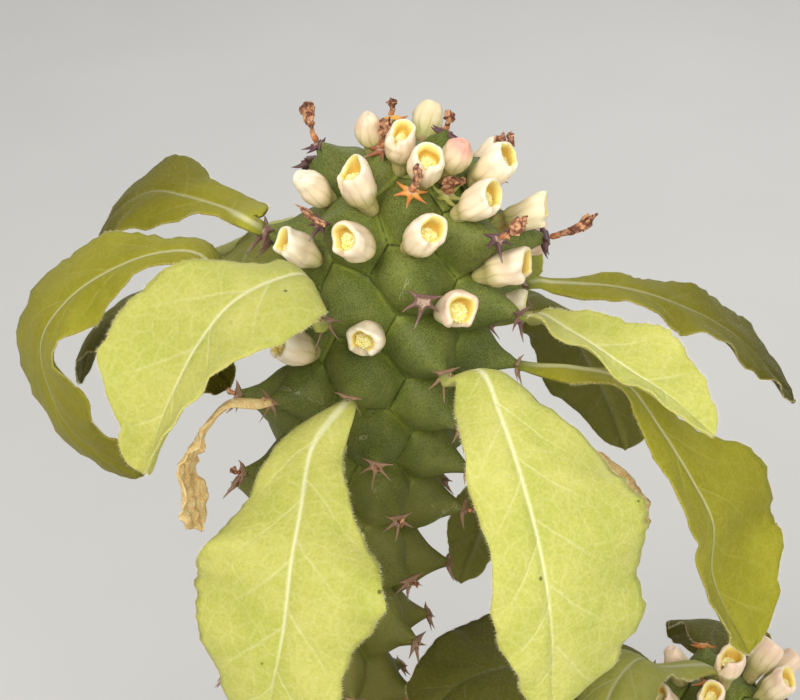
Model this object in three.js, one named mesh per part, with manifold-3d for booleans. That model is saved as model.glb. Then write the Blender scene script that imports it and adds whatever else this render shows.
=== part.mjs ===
// A flowering spiny succulent with two stems in a plain clay pot, in millimetres, +Z up.
// The origin is the middle of the pot's flat underside. The front of the plant faces -Y.
// Each stem is a lattice of podaria, the cone-shaped humps that end in a star of spines. The
// podaria follow one another round the stem by a constant angle, so every hump, flower and leaf
// is placed by its number in that spiral, counted from the stem's tip.
import * as THREE from "three";
import { mergeVertices } from "three/addons/utils/BufferGeometryUtils.js";
import Module from "manifold-3d";

const wasm = await Module();
wasm.setup();

// Pot and soil
const POT_HEIGHT = 96;
const POT_FOOT_RADIUS = 45;
const POT_RIM_RADIUS = 66;
const POT_WALL = 5;
const POT_FLOOR = 7;
const POT_COLLAR = 25;
const POT_COLLAR_STEP = 4;
const POT_SIDES = 40;
const DRAIN_HOLES = 3;
const DRAIN_RADIUS = 5;
const DRAIN_CIRCLE = 24;
const SOIL_LEVEL = 88;
const SOIL_SIDES = 24;
const SOIL_ROUGHNESS = 0.8;
const STONE_COUNT = 14;
const HOLE_SIDES = 12;
const HOLE_GAP = 0.6;
const HOLE_LEVELS = [0, 6, 12, 30];
const SLIVER = 0.05;

// Gap between two pieces that touch
const SEAT_GAP = 0.3;

// Spiral of the podaria: the turn from one to the next, and the steps that lead to a neighbour
const TURN = 137.04;
const NEAR_STEP = 3;
const MIDDLE_STEP = 5;
const FAR_STEP = 8;

// The two stems. Depth is the distance below the stem's tip, along its axis.
const MAIN_STEM = {
  axis: new THREE.QuadraticBezierCurve3(
    new THREE.Vector3(-20, 1, 70),
    new THREE.Vector3(-16, 1, 165),
    new THREE.Vector3(5.5, 0, 252),
  ),
  radius: 14,
  footRadius: 10.5,
  count: 94,
  phase: -199,
  firstDepth: 4.5,
  pitch: 1.38,
  lowPitch: 1.95,
  lowDepth: 58,
  hump: 9,
};
const SIDE_STEM = {
  axis: new THREE.CubicBezierCurve3(
    new THREE.Vector3(31, 2, 70),
    new THREE.Vector3(36, 2, 92),
    new THREE.Vector3(51.5, 3, 118),
    new THREE.Vector3(63, 4, 145),
  ),
  radius: 11.5,
  footRadius: 8.5,
  count: 37,
  phase: 20,
  firstDepth: 4,
  pitch: 1.42,
  lowPitch: 1.9,
  lowDepth: 40,
  hump: 7.5,
};
const FIRST_NUMBER = 4;
const LIFT_YOUNG = 20;
const LIFT_OLD = 7;

// A podarium's star of spines: directions from straight down, and lengths
const SPINES = [
  { turn: 0, length: 4.6 },
  { turn: 64, length: 3.6 },
  { turn: 126, length: 3.1 },
  { turn: 234, length: 3.1 },
  { turn: 296, length: 3.6 },
];
const NECK_RADIUS = 1.35;
const SHOULDER = { width: 0.52, height: 0.46 };
const STAR_VALLEY = 1.25;
const SPINE_THICKNESS = 1.1;

// Leaves. Each sits on the podarium of the given number. Its midrib then runs through the points
// that are listed, and its half-widths, roll and cup are given at even steps from foot to tip.
// Left is as seen from the foot. Roll lifts the left half, and cup lowers both edges, in degrees.
const LEAF_THICKNESS = 0.7;
const STALK_THICKNESS = 1.9;
const LEAF_ROWS = 10;
const LEAF_WAVES = 7;
const MAIN_LEAVES = [
  {
    name: "leaf_front_left",
    podarium: 25,
    midrib: [
      [-11.8, -30, 217.7], [-13.4, -40, 213], [-14.6, -47, 208.4], [-15.7, -51, 200],
      [-17.4, -53, 191.5], [-19, -53, 182],
    ],
    left: [1.4, 4, 6, 9.5, 14.5, 10, 9.5, 0.8],
    right: [1.4, 4, 8.5, 12.5, 16.2, 15, 11, 0.8],
    roll: [0, 0, 0],
    cup: [10, 10, 10],
    wave: 1.3,
    seed: 3,
  },
  {
    name: "leaf_front_right",
    podarium: 20,
    midrib: [
      [12.8, -27, 228.5], [15.4, -35, 226.2], [17.9, -43, 221.7], [20.5, -50, 214],
      [22.4, -54, 203], [23, -55, 188],
    ],
    left: [1.4, 4, 9, 16, 19, 17, 15, 0.8],
    right: [1.4, 4.2, 6.5, 7.5, 7, 8.5, 6, 0.8],
    roll: [0, 0, 0],
    cup: [10, 10, 10],
    wave: 1.2,
    seed: 8,
  },
  {
    name: "leaf_right_low",
    podarium: 23,
    midrib: [
      [28.7, -9, 218.4], [35.5, -13, 218.9], [41.5, -17, 212.3], [46.3, -20, 205.3],
      [49.9, -22, 198.4], [50.5, -23, 189], [57.5, -24, 174],
    ],
    left: [1.5, 1.5, 3.5, 8, 14, 17, 13, 0.8],
    right: [1.5, 3, 3, 5, 8, 5, 4, 0.8],
    roll: [0, 5, 15],
    cup: [5, -5, -20],
    wave: 1.2,
    seed: 12,
  },
  {
    name: "leaf_right",
    podarium: 15,
    midrib: [
      [22.5, -16, 232], [28, -21, 231.2], [35.2, -28, 229.3], [40.4, -32, 227.5],
      [46.3, -36, 223.5],
    ],
    left: [1.5, 2, 4, 7, 9, 8, 5, 0.8],
    right: [1.5, 2, 4, 3.5, 4, 5, 3, 0.8],
    roll: [0, 0, 0],
    cup: [-20, -20, -20],
    wave: 0.7,
    seed: 5,
  },
  {
    name: "leaf_right_high",
    podarium: 18,
    midrib: [[25.5, 9, 224], [36.7, 13, 221.5], [46.8, 16, 217], [58.3, 18, 209.5], [70, 19, 195.7]],
    left: [1.5, 2.5, 3.5, 6.5, 7.8, 11, 11, 0.8],
    right: [1.5, 3, 5, 7.5, 8, 8, 5, 0.8],
    roll: [3, 8, 12],
    cup: [0, 0, 0],
    wave: 1,
    seed: 21,
  },
  {
    name: "leaf_left",
    podarium: 17,
    midrib: [
      [-12.7, -24, 243], [-16, -27, 244.4], [-22.7, -31, 242.6], [-27.6, -34, 237.4],
      [-30.5, -36, 232.5], [-33.4, -37, 226], [-35.8, -37, 217.6],
    ],
    left: [1.4, 3.5, 9, 11, 9, 6, 4.5, 0.8],
    right: [1.4, 3.8, 5, 9, 13.5, 12.5, 7, 0.8],
    roll: [-10, -10, -10],
    cup: [25, -5, -45],
    wave: 0.8,
    seed: 14,
  },
  {
    name: "leaf_left_arched",
    podarium: 22,
    midrib: [
      [-29.6, -8, 238], [-36, -6, 237.5], [-44, -4, 233.5], [-51, -3, 228],
      [-56, -3, 220.5], [-55.5, -4, 212.5], [-51.5, -6, 204.5], [-40.7, -9, 198.6],
    ],
    left: [1.5, 3.5, 4, 8, 8, 12, 9, 0.8],
    right: [1.5, 5, 6, 11, 15, 12, 9, 0.8],
    roll: [0, -15, -60],
    cup: [5, 5, 5],
    wave: 1.2,
    seed: 17,
  },
  {
    name: "leaf_left_high",
    podarium: 14,
    midrib: [[-26.5, 4.5, 240], [-33, 9, 240], [-39.5, 15, 238], [-46, 19, 232.5], [-51, 22, 223]],
    left: [1.5, 1.5, 3, 7.5, 10.5, 10, 7, 0.8],
    right: [1.5, 5, 5, 6.5, 10, 12, 9, 0.8],
    roll: [-5, -15, -35],
    cup: [5, 5, 5],
    wave: 0.8,
    seed: 9,
  },
  {
    name: "leaf_back_left",
    podarium: 24,
    midrib: [[-17, 28, 226], [-22, 36, 221], [-27, 43, 213], [-30, 48, 202]],
    left: [1.5, 3, 6, 9, 11, 10, 6, 0.8],
    right: [1.5, 3, 6, 9, 11, 10, 6, 0.8],
    roll: [0, 0, 0],
    cup: [0, 10, 10],
    wave: 1,
    seed: 30,
  },
  {
    name: "leaf_back",
    podarium: 21,
    midrib: [[9, 31, 227], [12, 41, 223], [15, 49, 214], [16, 54, 202], [17, 56, 190]],
    left: [1.5, 3, 7, 11, 13, 12, 7, 0.8],
    right: [1.5, 3, 7, 11, 13, 12, 7, 0.8],
    roll: [0, 0, 0],
    cup: [0, 10, 10],
    wave: 1.2,
    seed: 33,
  },
  {
    name: "leaf_left_low",
    podarium: 27,
    midrib: [[-28, 5, 220], [-30.5, 6.5, 216], [-31, 8, 210], [-28, 9, 204.5]],
    left: [1.4, 2.5, 4.5, 6, 7, 6, 4, 0.8],
    right: [1.4, 2.5, 4.5, 6, 7, 6, 4, 0.8],
    roll: [0, 0, 0],
    cup: [0, 10, 10],
    wave: 0.6,
    seed: 36,
  },
  {
    name: "leaf_left_lowest",
    podarium: 32,
    midrib: [[-29, 22, 214.5], [-41, 25, 213], [-52, 26, 207], [-56, 25, 196]],
    left: [1.4, 3, 6, 9, 11, 10, 7, 0.8],
    right: [1.4, 3, 6, 9, 11, 10, 7, 0.8],
    roll: [0, 0, 0],
    cup: [0, 10, 10],
    wave: 0.8,
    seed: 39,
  },
  {
    name: "leaf_back_right",
    podarium: 26,
    midrib: [[24, 19, 216.5], [30, 22, 210], [35, 24, 200], [39, 25, 191], [42, 25, 182]],
    left: [1.4, 4, 8, 11, 12, 11, 7, 0.8],
    right: [1.4, 4, 8, 11, 12, 11, 7, 0.8],
    roll: [0, -25, -40],
    cup: [5, 5, 5],
    wave: 1,
    seed: 42,
  },
  {
    name: "leaf_right_lowest",
    podarium: 39,
    midrib: [[19, 10, 195], [19, 13.5, 185], [16, 16, 172], [12, 16.5, 158.5]],
    left: [1.3, 2.5, 4.5, 6.5, 7.5, 7, 4.5, 0.8],
    right: [1.3, 2.5, 4.5, 6.5, 7.5, 7, 4.5, 0.8],
    roll: [0, 0, 0],
    cup: [0, 10, 10],
    wave: 0.6,
    seed: 45,
  },
  {
    name: "dry_leaf_left",
    podarium: 30,
    dry: true,
    midrib: [
      [-25.5, -18, 218], [-29.5, -19.5, 214], [-32.3, -19.5, 208], [-32, -19, 201],
      [-31, -18, 194.7],
    ],
    left: [1, 1, 1.4, 2.2, 3, 3.4, 3, 0.8],
    right: [1, 1, 1.4, 2.2, 3, 3.4, 3, 0.8],
    roll: [0, 35, 50],
    cup: [30, 15, 10],
    wave: 0.5,
    seed: 50,
  },
  {
    name: "dry_leaf_right",
    podarium: 31,
    dry: true,
    midrib: [[26, -4, 205], [33, -8, 201], [38, -10, 197], [41.5, -11, 190]],
    left: [1, 1, 1.4, 2.2, 3, 3.2, 3, 0.8],
    right: [1, 1, 1.4, 2.2, 3, 3.2, 3, 0.8],
    roll: [0, 10, 20],
    cup: [35, 30, 20],
    wave: 0.5,
    seed: 53,
  },
];
const SIDE_LEAVES = [
  {
    name: "side_leaf_left",
    podarium: 7,
    midrib: [[34, 5, 150], [28, 1, 153.5], [20, -6, 157], [11.5, -14, 160], [4.5, -23, 159.5]],
    left: [1.4, 4, 7, 10, 12, 12, 9, 2],
    right: [1.4, 4, 8, 11.5, 12, 10, 7.5, 3],
    roll: [0, -15, -15],
    cup: [0, 5, 5],
    wave: 0.8,
    seed: 60,
  },
  {
    name: "side_leaf_front_left",
    podarium: 2,
    midrib: [[46.5, -4, 155], [42, -8, 160], [37, -14, 158], [34, -20, 148], [33, -24, 136]],
    left: [1.4, 2.5, 4, 6, 8, 8, 6, 0.8],
    right: [1.4, 2.5, 4, 6, 8, 8, 6, 0.8],
    roll: [0, 0, 0],
    cup: [0, 25, 35],
    wave: 1.2,
    seed: 63,
  },
  {
    name: "side_leaf_front_right",
    podarium: 8,
    midrib: [[75, -19, 137], [80, -28, 133], [83, -34, 123], [84, -37, 110]],
    left: [1.4, 3, 6, 10, 12, 11, 7, 0.8],
    right: [1.4, 3, 6, 10, 12, 11, 7, 0.8],
    roll: [0, 0, 0],
    cup: [0, 10, 10],
    wave: 1.1,
    seed: 66,
  },
  {
    name: "side_leaf_right",
    podarium: 11,
    midrib: [[83, 4, 129], [92, 6, 125], [98, 7, 115], [100, 8, 103]],
    left: [1.4, 3, 6, 10, 12, 11, 7, 0.8],
    right: [1.4, 3, 6, 10, 12, 11, 7, 0.8],
    roll: [0, 0, 0],
    cup: [0, 10, 10],
    wave: 1.1,
    seed: 69,
  },
  {
    name: "side_leaf_back",
    podarium: 9,
    midrib: [[62, 31, 135], [65, 40, 131], [67, 47, 121], [68, 50, 110]],
    left: [1.4, 3, 6, 9, 11, 10, 6, 0.8],
    right: [1.4, 3, 6, 9, 11, 10, 6, 0.8],
    roll: [0, 0, 0],
    cup: [0, 10, 10],
    wave: 1,
    seed: 72,
  },
  {
    name: "side_leaf_back_left",
    podarium: 12,
    midrib: [[37, 25, 137], [31, 34, 134], [26, 41, 126], [23, 45, 114]],
    left: [1.4, 3, 6, 9, 11, 10, 6, 0.8],
    right: [1.4, 3, 6, 9, 11, 10, 6, 0.8],
    roll: [0, 0, 0],
    cup: [0, 10, 10],
    wave: 1,
    seed: 75,
  },
];

// A cup flower, from its foot on the stem: heights along its axis and radii there
const CUP_SIDES = 8;
const CUP = { neck: 3.2, belly: 6.3, mouth: 9.8, floor: 7, middle: 8.2, notch: 2.2, slope: 0.6 };
const CUP_RADII = { root: 0.9, neck: 1.4, belly: 3.35, mouth: 3.25, floor: 1.9 };
const CUP_WALL = 0.95;
const CUP_LIFT = 25;
const BUD_OPENING = 0.5;

// Flowers. Each grows above the podarium of the given number, turned from it by some degrees and
// higher up by some millimetres. Swing and lift bend its axis sideways and upwards, in degrees.
const MAIN_FLOWERS = [
  { podarium: 25, turn: 2, above: 9.5, swing: -5, lift: 14 },
  { podarium: 20, turn: 5, above: 6.9, swing: -11, lift: 34 },
  { podarium: 12, turn: -10, above: 6, swing: 24, lift: 41 },
  { podarium: 17, turn: 4, above: 10.7, swing: -13, lift: 24 },
  { podarium: 7, turn: -15, above: 4, swing: 24, lift: 23 },
  { podarium: 15, turn: -8, above: 5.6, swing: 14, lift: 36 },
  { podarium: 9, turn: 10, above: 5, swing: -24, lift: 41 },
  { podarium: 22, turn: 4, above: 11.2, lift: 28 },
  { podarium: 14, turn: 14, above: 9, bud: true },
  { podarium: 30, turn: 4, above: 8.4, swing: -13, lift: 18 },
  { podarium: 4, turn: 4, above: 2.5, lift: 28, size: 0.9 },
  { podarium: 10, turn: -21, above: 5.3, swing: 1 },
  { podarium: 18, turn: 2, above: 8.3, swing: -8, lift: 17 },
  { podarium: 23, turn: 5, above: 8, size: 0.7 },
  { podarium: 2, turn: -19, above: 0.4 },
  { podarium: -1, turn: 0, above: 0.3, bud: true, size: 0.9 },
  { podarium: 1, turn: 23, above: 0.7, size: 0.85, swing: 8, lift: 41 },
  { podarium: 0, turn: 18, above: -4, size: 0.8, lift: 15 },
  { podarium: 1, turn: -25, above: 0, swing: 24, lift: 32, size: 0.85, bud: true },
  { podarium: 13, turn: 0, above: 7.5 },
  { podarium: 16, turn: 0, above: 8 },
  { podarium: 24, turn: 4, above: 9 },
  { podarium: 21, turn: 3, above: 8.5 },
];
const SIDE_FLOWERS = [
  { podarium: 7, turn: 8, above: 4, bud: true },
  { podarium: 2, turn: 3, above: 1.6, swing: 8, lift: 41 },
  { podarium: 1, turn: -16, above: 1.9 },
  { podarium: 6, turn: 3, above: 4.8 },
  { podarium: 0, turn: 26, above: 0.8, swing: -8 },
  { podarium: 5, turn: -27, above: 2.2, lift: 17 },
  { podarium: 10, turn: -16, above: 5.2, swing: 2, lift: 17 },
];

// Withered flower stalks on the ends of some podaria: number of the podarium, and length
const DRY_STALKS = [
  { podarium: 7, length: 5.5, seed: 7 },
  { podarium: 10, length: 7, seed: 11 },
  { podarium: 9, length: 4, seed: 2 },
];
const STALK_SIDES = 6;

const materials = {
  skin: new THREE.MeshStandardMaterial({ color: 0x56713a, roughness: 0.55, metalness: 0 }),
  leaf: new THREE.MeshStandardMaterial({ color: 0xb7c24a, roughness: 0.6, metalness: 0 }),
  dryLeaf: new THREE.MeshStandardMaterial({ color: 0xc9a25a, roughness: 0.85, metalness: 0 }),
  flower: new THREE.MeshStandardMaterial({ color: 0xf1e6c4, roughness: 0.5, metalness: 0 }),
  dryFlower: new THREE.MeshStandardMaterial({ color: 0x9a5b38, roughness: 0.9, metalness: 0 }),
  clay: new THREE.MeshStandardMaterial({ color: 0xb5653f, roughness: 0.85, metalness: 0 }),
  soil: new THREE.MeshStandardMaterial({ color: 0x6b5a48, roughness: 0.95, metalness: 0 }),
};

const plant = new THREE.Group();

// Small helpers

function radians(degrees) {
  return THREE.MathUtils.degToRad(degrees);
}

// A repeatable random number from 0 to 1.
function seeded(seed) {
  let state = seed;
  return () => {
    state = (state * 1664525 + 1013904223) % 4294967296;
    return state / 4294967296;
  };
}

function addPiece(name, geometry, material) {
  geometry.computeVertexNormals();
  const piece = new THREE.Mesh(geometry, material);
  piece.name = name;
  plant.add(piece);
  return piece;
}

// An indexed geometry from corner points and triples of their numbers.
function polyhedron(points, triangles) {
  const geometry = new THREE.BufferGeometry();
  const numbers = points.flatMap((point) => point.toArray());
  geometry.setAttribute("position", new THREE.Float32BufferAttribute(numbers, 3));
  geometry.setIndex(triangles.flat());
  return geometry;
}

function toSolid(geometry) {
  const plain = geometry.clone();
  plain.deleteAttribute("normal");
  plain.deleteAttribute("uv");
  const merged = mergeVertices(plain, 1e-4);
  return new wasm.Manifold(
    new wasm.Mesh({
      numProp: 3,
      vertProperties: new Float32Array(merged.attributes.position.array),
      triVerts: new Uint32Array(merged.index.array),
    }),
  );
}

function toGeometry(solid) {
  const mesh = solid.getMesh();
  const geometry = new THREE.BufferGeometry();
  geometry.setAttribute("position", new THREE.BufferAttribute(mesh.vertProperties, 3));
  geometry.setIndex(new THREE.BufferAttribute(mesh.triVerts, 1));
  return geometry;
}

// The largest of the separate bodies that a cut leaves.
function largestBody(solid) {
  return solid.decompose().reduce((a, b) => (a.volume() > b.volume() ? a : b));
}

// Triangles between two closed rings that run the same way round. Each ring is a list of
// { id, turn }, with turn in degrees rising from 0 to 360.
function stitchRings(outer, inner) {
  const triangles = [];
  let a = 0;
  let b = 0;
  const turnOf = (ring, i) => ring[i % ring.length].turn + 360 * Math.floor(i / ring.length);
  while (a < outer.length || b < inner.length) {
    const outerFirst = a < outer.length && turnOf(outer, a + 1) <= turnOf(inner, b + 1);
    const from = outer[a % outer.length].id;
    const here = inner[b % inner.length].id;
    if (b >= inner.length || outerFirst) {
      triangles.push([from, outer[(a + 1) % outer.length].id, here]);
      a += 1;
    } else {
      triangles.push([inner[(b + 1) % inner.length].id, here, from]);
      b += 1;
    }
  }
  return triangles;
}

// One stem of podaria

class Stem {
  constructor(spec) {
    Object.assign(this, spec);
    this.length = this.axis.getLength();
    this.points = [];
    this.triangles = [];
    this.corners = new Map();
  }

  // Depth below the tip of podarium number k. It grows from almost nothing at the tip, then
  // evenly, and faster on the old part of the stem.
  depth(k) {
    if (k < FIRST_NUMBER) {
      return this.firstDepth * Math.exp((this.pitch / this.firstDepth) * (k - FIRST_NUMBER));
    }
    const even = this.firstDepth + this.pitch * (k - FIRST_NUMBER);
    if (even < this.lowDepth) return even;
    return this.lowDepth + ((even - this.lowDepth) * this.lowPitch) / this.pitch;
  }

  // Radius of the grooves between the humps: a dome, then a slow taper to the foot.
  radiusAt(depth) {
    const dome = Math.min(depth / this.radius, 1);
    const taper = THREE.MathUtils.smoothstep(depth, 2 * this.radius, 5.5 * this.radius);
    return THREE.MathUtils.lerp(this.radius, this.footRadius, taper) * Math.sqrt(1 - (1 - dome) ** 2);
  }

  // Centre of the stem at a depth, with its upward direction and its rightward one.
  frame(depth) {
    const along = THREE.MathUtils.clamp(1 - depth / this.length, 0, 1);
    const up = this.axis.getTangentAt(along).normalize();
    const right = new THREE.Vector3(0, 1, 0).cross(up).normalize();
    const front = right.clone().cross(up).normalize();
    return { centre: this.axis.getPointAt(along), up, right, front };
  }

  // Outward direction at an angle, in degrees, from the front towards the right.
  outward(angle, frame) {
    return frame.right
      .clone()
      .multiplyScalar(Math.sin(radians(angle)))
      .addScaledVector(frame.front, Math.cos(radians(angle)));
  }

  groove(angle, depth) {
    const frame = this.frame(depth);
    return frame.centre.addScaledVector(this.outward(angle, frame), this.radiusAt(depth));
  }

  // Foot, direction, tip and sizes of podarium number k.
  podarium(k) {
    const angle = this.phase + k * TURN;
    const depth = this.depth(k) + 0.6;
    const frame = this.frame(depth);
    const rise = Math.max(1 - depth / this.radius, 0);
    const upturn = LIFT_OLD + (LIFT_YOUNG - LIFT_OLD) * (1 - THREE.MathUtils.smoothstep(depth, 10, 30));
    const lift = Math.asin(rise) + radians(upturn);
    const out = this.outward(angle, frame).multiplyScalar(Math.cos(lift));
    out.addScaledVector(frame.up, Math.sin(lift));
    const down = frame.up.clone().negate().addScaledVector(out, out.dot(frame.up)).normalize();
    const side = out.clone().cross(down).normalize();
    const young = THREE.MathUtils.smoothstep(k, -3, 13);
    const old = 1 - 0.35 * THREE.MathUtils.smoothstep(k, 50, 85);
    const height = this.hump * (0.25 + 0.75 * young) * old;
    const foot = this.groove(angle, depth);
    const tip = foot.clone().addScaledVector(out, height);
    return { out, down, side, height, foot, tip, spread: 0.45 + 0.55 * young };
  }

  addPoint(point) {
    this.points.push(point);
    return this.points.length - 1;
  }

  // The groove corner shared by the humps k, k + FAR_STEP and, between them, k + step.
  corner(k, step) {
    const key = `${k}_${step}`;
    if (!this.corners.has(key)) {
      const wrap = (n) => n * TURN - 360 * Math.round((n * TURN) / 360);
      const angle = this.phase + k * TURN + (wrap(step) + wrap(FAR_STEP)) / 3;
      const depth = (this.depth(k) + this.depth(k + step) + this.depth(k + FAR_STEP)) / 3;
      this.corners.set(key, this.addPoint(this.groove(angle, depth)));
    }
    return this.corners.get(key);
  }

  // A ring round a podarium's axis: a list of ids with the turn of each, sorted from straight down.
  sortRing(hump, ids) {
    const ring = ids.map((id) => {
      const from = this.points[id].clone().sub(hump.foot);
      const turn = THREE.MathUtils.radToDeg(Math.atan2(from.dot(hump.side), from.dot(hump.down)));
      return { id, turn: (turn + 360) % 360 };
    });
    return ring.sort((a, b) => a.turn - b.turn);
  }

  // One hump: six groove corners, a shoulder, a neck, and the star of spines on its end.
  addHump(k) {
    const hump = this.podarium(k);
    const corners = this.sortRing(hump, [
      this.corner(k, MIDDLE_STEP),
      this.corner(k, NEAR_STEP),
      this.corner(k - MIDDLE_STEP, MIDDLE_STEP),
      this.corner(k - FAR_STEP, NEAR_STEP),
      this.corner(k - FAR_STEP, MIDDLE_STEP),
      this.corner(k - NEAR_STEP, NEAR_STEP),
    ]);
    const shoulder = corners.map(({ id, turn }) => {
      const point = this.points[id].clone().sub(hump.foot).multiplyScalar(SHOULDER.width).add(hump.foot);
      return { id: this.addPoint(point.addScaledVector(hump.out, SHOULDER.height * hump.height)), turn };
    });
    const onEnd = (turn, reach, height) => {
      const place = hump.foot.clone().addScaledVector(hump.out, height);
      place.addScaledVector(hump.down, reach * Math.cos(radians(turn)));
      return this.addPoint(place.addScaledVector(hump.side, reach * Math.sin(radians(turn))));
    };
    const neckHeight = hump.height - SPINE_THICKNESS;
    const neck = SPINES.map(({ turn }) => {
      return { id: onEnd(turn, NECK_RADIUS * hump.spread, neckHeight), turn };
    });
    const star = SPINES.flatMap(({ turn, length }, i) => {
      const next = i + 1 < SPINES.length ? SPINES[i + 1].turn : 360;
      const valley = (turn + next) / 2;
      return [
        { id: onEnd(turn, length * hump.spread, hump.height - 0.2), turn },
        { id: onEnd(valley, STAR_VALLEY * hump.spread, hump.height), turn: valley },
      ];
    });
    const middle = this.addPoint(hump.tip.clone().addScaledVector(hump.out, 0.1));
    for (const [outer, inner] of [[corners, shoulder], [shoulder, neck], [neck, star]]) {
      this.triangles.push(...stitchRings(outer, inner));
    }
    star.forEach(({ id }, i) => this.triangles.push([id, star[(i + 1) % star.length].id, middle]));
  }

  // Triangle sides that only one triangle uses, followed round from one vertex to the next.
  openLoops() {
    const sides = new Map();
    const sidesOf = ([a, b, c]) => [`${a}_${b}`, `${b}_${c}`, `${c}_${a}`];
    const used = new Set(this.triangles.flatMap(sidesOf));
    for (const [a, b, c] of this.triangles) {
      for (const [from, to] of [[a, b], [b, c], [c, a]]) {
        if (!used.has(`${to}_${from}`)) sides.set(to, from);
      }
    }
    const loops = [];
    while (sides.size) {
      const loop = [];
      let here = sides.keys().next().value;
      while (sides.has(here)) {
        loop.push(here);
        const next = sides.get(here);
        sides.delete(here);
        here = next;
      }
      loops.push(loop);
    }
    return loops.sort((a, b) => this.points[b[0]].z - this.points[a[0]].z);
  }

  closeTip(loop) {
    const apex = this.addPoint(this.axis.getPointAt(1));
    loop.forEach((id, i) => this.triangles.push([id, loop[(i + 1) % loop.length], apex]));
  }

  // The plain foot goes from the lowest humps down to the end of the axis, in the soil.
  closeFoot(loop) {
    const foot = this.frame(this.length);
    const start = this.points[loop[0]].clone().sub(foot.centre);
    const first = Math.atan2(start.dot(foot.right), start.dot(foot.front));
    const rings = [this.length - 12, this.length].map((depth) =>
      loop.map((_, i) => {
        const angle = THREE.MathUtils.radToDeg(first) - (360 * i) / loop.length;
        const frame = this.frame(depth);
        return this.addPoint(frame.centre.addScaledVector(this.outward(angle, frame), this.footRadius));
      }),
    );
    const centre = this.addPoint(foot.centre);
    [[loop, rings[0]], rings].forEach(([upper, lower]) => {
      upper.forEach((id, i) => {
        const next = (i + 1) % upper.length;
        this.triangles.push([id, upper[next], lower[i]], [upper[next], lower[next], lower[i]]);
      });
    });
    rings[1].forEach((id, i) => this.triangles.push([id, rings[1][(i + 1) % loop.length], centre]));
  }

  build() {
    for (let k = 0; k < this.count; k += 1) this.addHump(k);
    const [tip, foot] = this.openLoops();
    this.closeTip(tip);
    this.closeFoot(foot);
    this.geometry = polyhedron(this.points, this.triangles);
    return this;
  }
}

// Value of a list at a place from 0 to 1 along it, on a smooth curve through its entries.
function valueAt(values, along) {
  const points = values.map((value, i) => new THREE.Vector2(i, value));
  return new THREE.SplineCurve(points).getPoint(along).y;
}

// A thin closed blade: rows of five points across, on an upper and a lower face that are split
// into triangles alike. The first row lies flat on the podarium's end.
function leafBlade(leaf, stem) {
  const hump = stem.podarium(leaf.podarium);
  const foot = hump.tip.clone().addScaledVector(hump.out, 0.1 + SEAT_GAP);
  const collar = foot.clone().addScaledVector(hump.out, 3.5);
  const listed = leaf.midrib.map((point) => new THREE.Vector3(...point));
  const midrib = new THREE.CatmullRomCurve3([foot, collar, ...listed]);
  const heading = midrib.getPointAt(1).sub(foot).setZ(0).normalize();
  const leftward = new THREE.Vector3(-heading.y, heading.x, 0);
  const random = seeded(leaf.seed);
  const turns = [random(), random()].map((value) => value * 2 * Math.PI);
  const upper = [];
  const lower = [];
  for (let row = 0; row < LEAF_ROWS; row += 1) {
    const along = row / (LEAF_ROWS - 1);
    const tangent = row ? midrib.getTangentAt(along) : hump.out.clone();
    const side = leftward.clone().addScaledVector(tangent, -tangent.dot(leftward)).normalize();
    const face = tangent.clone().cross(side).normalize();
    const roll = radians(valueAt(leaf.roll, along));
    const left = side.clone().multiplyScalar(Math.cos(roll)).addScaledVector(face, Math.sin(roll));
    const up = tangent.clone().cross(left).normalize();
    const cup = radians(valueAt(leaf.cup, along));
    const thin = THREE.MathUtils.smoothstep(along, 0, 0.3);
    const thickness = THREE.MathUtils.lerp(STALK_THICKNESS, LEAF_THICKNESS, thin);
    for (const across of [-1, -0.5, 0, 0.5, 1]) {
      const sign = Math.sign(across);
      const width = valueAt(sign > 0 ? leaf.left : leaf.right, along) * Math.abs(across);
      const ripple = Math.sin(LEAF_WAVES * along * Math.PI + turns[sign > 0 ? 0 : 1]);
      const wave = leaf.wave * ripple * across ** 2 * Math.sin(Math.PI * along);
      const point = midrib.getPointAt(along);
      point.addScaledVector(left, sign * width * Math.cos(cup * Math.abs(across)));
      point.addScaledVector(up, wave - width * Math.sin(cup * Math.abs(across)));
      upper.push(point.clone().addScaledVector(up, thickness / 2));
      lower.push(point.clone().addScaledVector(up, -thickness / 2));
    }
  }
  return closedSheet(upper, lower, LEAF_ROWS, 5);
}

// Two faces of a sheet, each rows of points, joined round their rim.
function closedSheet(upper, lower, rows, columns) {
  const count = rows * columns;
  const triangles = [];
  for (let row = 0; row < rows - 1; row += 1) {
    for (let column = 0; column < columns - 1; column += 1) {
      const a = row * columns + column;
      const [b, c, d] = [a + 1, a + columns, a + columns + 1];
      triangles.push([a, c, b], [b, c, d]);
      triangles.push([a + count, b + count, c + count], [b + count, d + count, c + count]);
    }
  }
  const rim = [];
  for (let column = 0; column < columns; column += 1) rim.push(column);
  for (let row = 1; row < rows; row += 1) rim.push(row * columns + columns - 1);
  for (let column = columns - 2; column >= 0; column -= 1) rim.push((rows - 1) * columns + column);
  for (let row = rows - 2; row > 0; row -= 1) rim.push(row * columns);
  rim.forEach((a, i) => {
    const b = rim[(i + 1) % rim.length];
    triangles.push([a, b, a + count], [b, b + count, a + count]);
  });
  return polyhedron([...upper, ...lower], triangles);
}

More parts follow.
